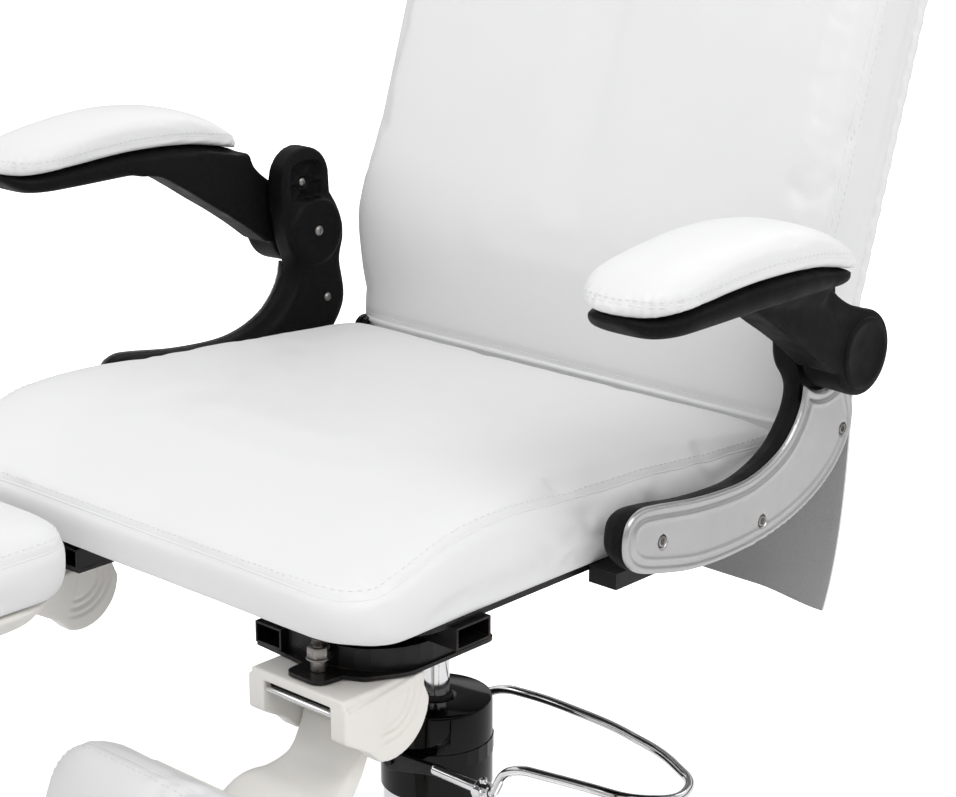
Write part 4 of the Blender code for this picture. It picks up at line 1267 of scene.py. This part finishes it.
def armrests():
    pad = arm_pad(MAT["leather"])
    tree = surface_of(pad)
    seam = laid_on(tree, walk(pad_path(0.001, 0.0095), SEAM_STEP, False))
    press_seam(pad, [seam], 0.0009, 0.0026)
    gather(pad, seam, PAD_START)
    cord = seam_cord("arm_pad_seam", pad, seam, False, 0.0005, 0.0003)
    row = stitches("arm_pad_stitching", pad, pad_path(0.002, 0.0130), False, 0.0056, 0.0034)
    body = arm_body()
    cap = hub_cap()
    carrier = arm_carrier()
    cover = arm_cover()
    screws = [sunk_screw(f"cover_screw_{i}", hole[:2], 0.2992, 1) for i, hole in enumerate(COVER_HOLES)]
    inner = [pan_screw("carrier_hub_screw", (HUB.y, HUB.z + 0.001), 0.2712, -1),
             pan_screw("carrier_low_screw", (0.140, 0.661), CARRIER_INNER + 0.0004, -1, 0.0042),
             pan_screw("carrier_tab_screw", (0.116, 0.775), CARRIER_INNER + 0.0066, -1, 0.0046)]
    hardware = merged("arm_screws", screws + inner, MAT["steel"])
    paired(((pad, "arm_pad_cover", "arm", "white_leatherette", ["arm_pad"]),
            (cord, "arm_pad_seam", "arm", "white_leatherette", []),
            (row, "arm_pad_stitching", "arm", "white_leatherette", []),
            (body, "arm_moulding", "arm", "black_plastic", ["arm_body"]),
            (cap, "arm_hub_cap", "arm", "black_plastic", ["hub_pin"]),
            (carrier, "arm_carrier_moulding", "seat", "black_plastic", ["arm_bracket"]),
            (cover, "arm_cover_pressing", "seat", "silver_paint", ["arm_bracket_cover"]),
            (hardware, "arm_screws", "seat", "steel", [])))


# ---- leg rests ----
def leg_cushion():
    low, high = 0.0065, 0.2555
    knee, toe = LEG_HIGH.y - 0.003, LEG_LOW.y
    base = LEG_LOW.z
    # inset from the outline, and the height over the tray
    table = ((0.014, 0.0002), (0.006, 0.0012), (0.001, 0.008), (0.000, 0.020), (0.000, 0.032),
             (0.001, 0.040), (0.004, 0.0465), (0.011, 0.0525), (0.025, 0.0580), (0.048, 0.0625),
             (0.078, 0.0650), (0.110, 0.0658))
    rings = [(low + s, toe + s, high - s, knee - s, base + z) for s, z in table]
    obj = ring_loft("leg_upholstery", rings, (0.046, 0.034), level_place, MAT["leather"], 0.012)
    puff(obj, 0.0055, 2.4, 0.004, lambda p: smoothstep(base + 0.003, base + 0.015, p.z))
    for vertex in obj.data.vertices:
        vertex.co.z = max(vertex.co.z, base)
    tree = surface_of(obj)
    box = (low, toe, high, knee)
    seam = rect_path(box, (0.002, 0.002, 0.002), (0.045, 0.033), level_place, base + 0.0405)
    seam = laid_on(tree, walk(seam, SEAM_STEP, True))
    press_seam(obj, [seam], 0.0013, 0.0034)
    cord = seam_cord("leg_seam", obj, seam, True)
    row = rect_path(box, (0.006, 0.006, 0.006), (0.042, 0.030), level_place, base + 0.0470)
    return obj, cord, stitches("leg_stitching", obj, row, True)


def leg_tray():
    """White shell under the cushion: dished tray with a lip, and the curved neck to the fork."""
    low, high = 0.0125, 0.2525
    knee, toe = LEG_HIGH.y - 0.0075, LEG_LOW.y + 0.002
    top = LEG_LOW.z - 0.0003
    # inset from the outline, and the height over the tray's rim
    table = ((0.050, -0.0235), (0.032, -0.0230), (0.018, -0.0205), (0.008, -0.0150), (0.003, -0.0075),
             (0.0005, -0.0040), (0.000, -0.0020), (0.001, 0.0))
    rings = [(low + s, toe + s, high - s, knee - s, top + z) for s, z in table]
    tray = ring_loft("tray_shell", rings, (0.046, 0.046), level_place, None, 0.012)
    # place along the neck, then its y, z, half width and half thickness there
    neck_line = ((0.0, -0.2990, 0.5235, 0.0325, 0.0065), (0.2, -0.3180, 0.5228, 0.0325, 0.0070),
                 (0.4, -0.3370, 0.5262, 0.0335, 0.0080), (0.6, -0.3530, 0.5380, 0.0400, 0.0095),
                 (0.8, -0.3680, 0.5540, 0.0520, 0.0110), (1.0, -0.4050, 0.5660, 0.0640, 0.0090))
    sections = []

    def along(t, i):
        return curve_value([(row[0], row[i]) for row in neck_line], t)

    for t in even(0, 1, 24):
        y, z, width, thick = [along(t, i) for i in (1, 2, 3, 4)]
        ahead = min(1.0, t + 0.02)
        behind = max(0.0, t - 0.02)
        dy, dz = along(ahead, 1) - along(behind, 1), along(ahead, 2) - along(behind, 2)
        size = hypot(dy, dz)
        up = Vector((0, dz / size, -dy / size))
        ring = []
        for i in range(32):
            angle = 2 * pi * i / 32
            c, s = cos(angle), sin(angle)
            x = LEG_PITCH.x + width * signed(c, 0.25)
            rise = thick * signed(s, 0.35)
            ring.append(Vector((x, y, z)) + up * rise)
        sections.append(ring)
    neck = section_loft("tray_neck", sections)
    return fused("leg_tray", [tray, neck], 0.0022, 6, MAT["ivory"])


def leg_housing():
    """Fork moulding: D-shaped cheeks with curved ribs, and the roof."""
    curve = arc((LEG_PITCH.y + 0.003, LEG_PITCH.z), 0.0375, 250, 358, 18)
    front = [(-0.325, 0.5495, 0.003), (-0.325, 0.518, 0.004), (-0.302, 0.5045, 0.012)]
    rear = [Vector((-0.246, 0.5385)), Vector((-0.246, 0.5495))]
    outline = rounded(front + [tuple(curve[0])], 5)[:-1] + curve + rear
    inner, outer = LEG_PITCH.x - 0.050, LEG_PITCH.x + 0.050
    cheek = 0.0155
    parts = [prism("cheek_a", outline, "x", inner, inner + cheek, None, 0.0022, 3),
             prism("cheek_b", outline, "x", outer - cheek, outer, None, 0.0022, 3)]
    roof = [(-0.3245, 0.5413), (-0.3245, 0.5493), (-0.2465, 0.5493), (-0.2465, 0.5413)]
    parts.append(prism("roof", roof, "x", inner + 0.003, outer - 0.003, None, 0.0012, 2))
    obj = fused("leg_housing", parts, 0.0012, 2, MAT["ivory"])
    for vertex in obj.data.vertices:
        co = vertex.co
        if min(abs(co.x - inner), abs(co.x - outer)) > 0.003 or abs(vertex.normal.x) < 0.4:
            continue
        gap = hypot(co.y - LEG_PITCH.y, co.z - (LEG_PITCH.z + 0.010))
        angle = atan2(co.z - LEG_PITCH.z - 0.010, co.y - LEG_PITCH.y)
        window = smoothstep(radians(-115), radians(-95), angle)
        window *= 1 - smoothstep(radians(-2), radians(12), angle)
        groove = bell(gap - 0.0275, 0.0020) + 0.8 * bell(gap - 0.0340, 0.0016)
        groove += 0.7 * bell(gap - 0.0210, 0.0016)
        dish = 0.5 * smoothstep(0.024, 0.016, gap)
        sign = 1 if co.x > LEG_PITCH.x else -1
        co.x -= sign * 0.0021 * (groove * window + 0.5 * dish * window)
        co.z = min(co.z, 0.5496)
    obj.data.update()
    return obj


def pivot_bolt():
    """Bolt with its shank, plain collar, washer and chamfered nut."""
    centre = (LEG_BOLT.x, LEG_BOLT.y, 0)
    ridges = []
    level = 0.5722
    while level < 0.5765:
        ridges += [(0.0040, level), (0.0049, level + 0.0004)]
        level += 0.0008
    shank = [(0.0, 0.5362), (0.0070, 0.5362), (0.0078, 0.5370), (0.0078, 0.5409), (0.0042, 0.5409),
             (0.0042, 0.5534), (0.0060, 0.5536), (0.0060, 0.5628), (0.0042, 0.5632), (0.0042, 0.5718)]
    shank += ridges + [(0.0040, 0.5770), (0.0, 0.5770)]
    bolt = turned("bolt_shank", shank, None, centre, "z", 40)
    washer = pin("bolt_washer", 0.0092, 0.5622, 0.5636, 0.0004, None, centre, "z", 40)
    hexagon = arc(centre[:2], 0.0086, 0, 300, 5)
    nut = prism("bolt_nut", hexagon, "z", 0.5636, 0.5716, None, 0.0007, 2)
    return merged("leg_pivot_bolt", [bolt, washer, nut], MAT["steel"], 30)


def hinge_pad():
    """Dark friction pad under the fork's roof, behind the bridge bar."""
    profile = rounded([(-0.3180, 0.5409, 0.001), (-0.3180, 0.5350, 0.002), (-0.2620, 0.5350, 0.002),
                       (-0.2620, 0.5409, 0.001)], 4)
    low, high = LEG_PITCH.x - 0.0338, LEG_PITCH.x + 0.0338
    return prism("leg_hinge_pad", profile, "x", low, high, MAT["plastic"], 0.0005, 2)


def leg_rests():
    cushion, cord, row = leg_cushion()
    tray = leg_tray()
    housing = leg_housing()
    bolt = pivot_bolt()
    shaft = pin("leg_pin", 0.0040, -0.0437, 0.0437, 0.0004, MAT["steel"], LEG_PITCH)
    front = (LEG_PITCH.x, -0.3205, 0.5345)
    bar = pin("leg_bridge_bar", 0.0024, -0.0343, 0.0343, 0.0004, MAT["chrome"], front)
    pad = hinge_pad()
    paired(((cushion, "leg_upholstery", "leg", "white_leatherette", ["leg_cushion"]),
            (pad, "leg_hinge_pad", "leg_swing", "black_plastic", []),
            (cord, "leg_seam", "leg", "white_leatherette", []),
            (row, "leg_stitching", "leg", "white_leatherette", []),
            (tray, "leg_tray_shell", "leg", "ivory_plastic", ["leg_tray"]),
            (housing, "leg_fork", "leg_swing", "ivory_plastic", ["leg_housing"]),
            (shaft, "leg_pin", "leg_swing", "steel", ["leg_pitch_pin"]),
            (bar, "leg_bridge_bar", "leg_swing", "chrome", []),
            (bolt, "leg_bolt_and_nut", "seat", "steel", ["leg_pivot_bolt"])))


# ---- column, base and pedal ----
def base_and_pump():
    disc = [(0.0, 0.0), (0.2600, 0.0), (0.2600, 0.0060), (0.2950, 0.0060), (0.2985, 0.0070), (0.3000, 0.0092),
            (0.2985, 0.0118), (0.2930, 0.0145), (0.2700, 0.0174), (0.2400, 0.0203), (0.2000, 0.0236),
            (0.1500, 0.0266), (0.1000, 0.0290), (0.0500, 0.0302), (0.0, 0.0305)]
    dress(turned("base_dish", disc, MAT["chrome"], steps=160), "base", ["base_disc"])
    ring = softened_profile([(0.262, 0.0), (0.292, 0.0), (0.2965, 0.0030), (0.2965, 0.0057),
                             (0.262, 0.0057)], 0.001)
    dress(turned("base_rubber", ring, MAT["rubber"], steps=120), "base", ["base_ring"])
    sleeve = softened_profile([(0.0435, 0.0308), (0.0760, 0.0308), (0.0760, 0.0345), (0.0580, 0.0385),
                               (0.0465, 0.0500), (0.0465, 0.2997), (0.0435, 0.2997)], 0.002)
    dress(turned("pump_tube", sleeve, MAT["chrome"], steps=96), "base", ["pump_sleeve"])
    low, high, r = PUMP_LOW.z, PUMP_HIGH.z, PUMP_HIGH.x
    shell = [(r - 0.002, low), (r - 0.0004, low), (r, low + 0.0005), (r, high - 0.0028),
             (r - 0.0008, high - 0.0008), (r - 0.0028, high), (0.0180, high), (0.0175, high - 0.0005),
             (0.0150, high - 0.0008),
             (0.0150, high - 0.003), (r - 0.003, high - 0.004), (r - 0.003, low + 0.001)]
    dress(turned("pump_shell", shell, MAT["gloss"], steps=96), "base", ["pump_cover"])
    seal = softened_profile([(0.0120, 0.3790), (0.0146, 0.3790), (0.0146, 0.3815), (0.0132, 0.3830),
                             (0.0120, 0.3830)], 0.0005, 3)
    dress(turned("rod_wiper", seal, MAT["rubber"], steps=64), "base", ["rod_seal"])
    rod = pin("lift_rod", 0.0117, 0.150, 0.552, 0.001, MAT["chrome"], axis="z", steps=64, cuts=4)
    dress(rod, "lift", ["piston_rod"])


# Corner points of the pedal's hoop, from the lever's clamp round to the trunnion behind the pump.
HOOP = ((0.1120, -0.0555, 0.3455), (0.1180, -0.0555, 0.3462), (0.1290, -0.0557, 0.3680),
        (0.1490, -0.0565, 0.3780), (0.2210, -0.0560, 0.3860), (0.2600, -0.0515, 0.3870),
        (0.2860, -0.0250, 0.3860), (0.2740, 0.0080, 0.3850), (0.2220, 0.0360, 0.3835),
        (0.1540, 0.0510, 0.3825), (0.0770, 0.0560, 0.3805), (0.0300, 0.0572, 0.3760),
        (0.0040, 0.0572, 0.3640), (0.0, 0.0572, 0.3460))


def pedal():
    """Lever on the pump's front trunnion and the hoop clamped in it, with its eye on the rear trunnion."""
    x, z = PEDAL.x, PEDAL.z
    arm = 0.0555
    rod_z = z + 0.0075
    rod = pin("lever_rod", 0.0050, 0.050, 0.1105, 0.0022, None, (0, -arm, rod_z), steps=40, cuts=4)
    clamp = softened_profile([(0.0, 0.1010), (0.0072, 0.1010), (0.0072, 0.1150), (0.0046, 0.1150),
                              (0.0046, 0.1112), (0.0, 0.1112)], 0.0008)
    boss = turned("lever_boss", clamp, None, (0, -arm, rod_z), "x", 40)
    tip = softened_profile([(0.0, 0.0), (0.0032, 0.0), (0.0032, 0.0100), (0.0018, 0.0104),
                            (0.0, 0.0088)], 0.0004)
    screw = turned("lever_screw", tip, None, (0.1065, -arm, rod_z), "z", 24)
    hexagon = arc((0.1065, rod_z), 0.0052, 0, 300, 5)
    nut = prism("lever_nut", hexagon, "y", -arm - 0.0105, -arm - 0.0060, None, 0.0005, 2)
    lever = merged("pedal_lever_rod", [rod, boss, screw, nut], MAT["chrome"])
    dress(lever, "pedal", ["pedal_yoke"])
    flat = arc((x, z), 0.0095, 60, 300, 24)
    flat += [Vector((0.056, rod_z - 0.0042)), Vector((0.056, rod_z + 0.0042))]
    plate = prism("pedal_lever_plate", flat, "y", -arm - 0.0028, -arm + 0.0024, MAT["paint"], 0.0008)
    dress(plate, "pedal", ())
    hoop = rod_path("hoop_rod", HOOP, 0.0040, 0.022, None, 14)
    eye = turned("hoop_eye", softened_profile([(0.0045, -0.0030), (0.0095, -0.0030), (0.0095, 0.0030),
                                               (0.0045, 0.0030)], 0.0008), None, (x, HOOP[-1][1], z), "y", 48)
    dress(merged("pedal_hoop", [hoop, eye], MAT["chrome"]), "pedal", ["pedal_loop"])


def recline_bolt():
    """Hexagon head and collar of the back's pivot bolt, beside the lower seam."""
    y, z = BACK_PIVOT.y, BACK_PIVOT.z
    shank = pin("recline_shank", 0.0040, 0.2395, 0.2568, 0.0004, None, (0, y, z), cuts=4)
    head = prism("recline_head", arc((y, z), 0.0074, 10, 310, 5), "x", 0.2340, 0.2390, None, 0.0006, 2)
    washer = pin("recline_washer", 0.0080, 0.2390, 0.2402, 0.0003, None, (0, y, z), cuts=4)
    nut = prism("recline_nut", arc((y, z), 0.0072, 25, 325, 5), "x", 0.2525, 0.2565, None, 0.0006, 2)
    left = merged("recline_bolt_left_set", [shank, head, washer, nut], MAT["steel"], 30)
    right = mirrored(left, "recline_bolt_right_set")
    for obj, side in ((left, "left"), (right, "right")):
        dress(obj, "seat", ["recline_bolt_" + side])


# ---- carried-over frame parts ----
def finish_frame_parts():
    """The frame's straight parts stay with their own finish; the black-painted ones get softened edges."""
    finishes = {"black_paint": "paint", "black_gloss": "gloss", "steel": "steel", "chrome": "chrome",
                "rubber": "rubber", "black_plastic": "plastic"}
    slots = {row["node"]: row["material_slot"] for row in frame["record"]["subparts"]}
    for name, obj in frame["nodes"].items():
        if obj.hide_render:
            continue
        mat = MAT[finishes[slots[name]]]
        obj.data.materials.clear()
        obj.data.materials.append(mat)
        if slots[name] == "black_paint":
            edge = obj.modifiers.new("edge", "BEVEL")
            edge.width = 0.0005
            edge.segments = 2
            edge.limit_method = "ANGLE"
            edge.angle_limit = radians(50)


# ---- stage, lights and camera ----
def stage():
    bm = bmesh.new()
    bmesh.ops.create_circle(bm, cap_ends=True, radius=16.0, segments=96)
    floor = from_bmesh("studio_floor", bm, MAT["floor"], None)
    floor.location.z = -0.0002


def aimed(obj, place, look):
    """Put a light or camera at a place, looking along a direction."""
    obj.location = place
    obj.rotation_euler = look.to_track_quat("-Z", "Y").to_euler()


def area_light(name, place, target, size, power):
    data = bpy.data.lights.new(name, "AREA")
    data.shape = "DISK"
    data.size = size
    data.energy = power
    aimed(added(name, data), place, Vector(target) - Vector(place))


def lights():
    """Even white room; mirror-like parts see a dark band round the horizon instead."""
    world = bpy.data.worlds.new("studio")
    bpy.context.scene.world = world
    world.use_nodes = True
    nodes, links = world.node_tree.nodes, world.node_tree.links
    background = nodes["Background"]
    path = nodes.new("ShaderNodeLightPath")
    coords = nodes.new("ShaderNodeTexCoord")
    split = nodes.new("ShaderNodeSeparateXYZ")
    links.new(coords.outputs["Generated"], split.inputs["Vector"])
    ramp = nodes.new("ShaderNodeValToRGB")
    stops = ((0.0, 0.55), (0.40, 0.30), (0.47, 0.03), (0.56, 0.05), (0.62, 0.75), (0.75, 1.0),
             (0.88, 0.45), (1.0, 0.9))
    while len(ramp.color_ramp.elements) < len(stops):
        ramp.color_ramp.elements.new(0.5)
    for element, (place, level) in zip(ramp.color_ramp.elements, stops):
        element.position = place
        element.color = (level, level, level, 1)
    shift = nodes.new("ShaderNodeMapRange")
    shift.inputs["From Min"].default_value = -1
    links.new(split.outputs["Z"], shift.inputs["Value"])
    links.new(shift.outputs["Result"], ramp.inputs["Fac"])
    room = mixed(nodes, links, path.outputs["Is Glossy Ray"], (0.76, 0.76, 0.76), ramp.outputs["Color"])
    seen = mixed(nodes, links, path.outputs["Is Camera Ray"], room, (1.02, 1.02, 1.02))
    links.new(seen, background.inputs["Color"])
    middle = (0, 0, 0.7)
    area_light("key", (2.2, -0.9, 3.4), middle, 2.2, 46)
    area_light("fill", (-2.4, -2.4, 2.6), middle, 2.4, 20)
    area_light("rim", (-0.4, 2.6, 3.2), middle, 2.4, 26)


def camera():
    target = Vector((-0.008, 0.062, 0.633))
    azimuth, elevation, distance = radians(42.71), radians(17.13), 2.0
    direction = Vector((sin(azimuth) * cos(elevation), -cos(azimuth) * cos(elevation), sin(elevation)))
    data = bpy.data.cameras.new("camera")
    data.sensor_width = 36.0
    data.lens = 87.86
    obj = added("camera", data)
    aimed(obj, target + direction * distance, -direction)
    bpy.context.scene.camera = obj
    bpy.context.scene.view_settings.view_transform = "Standard"


seat_cushion()
backrest()
back_panel()
rear_skirt()
armrests()
leg_rests()
base_and_pump()
pedal()
recline_bolt()
finish_frame_parts()
stage()
lights()
camera()
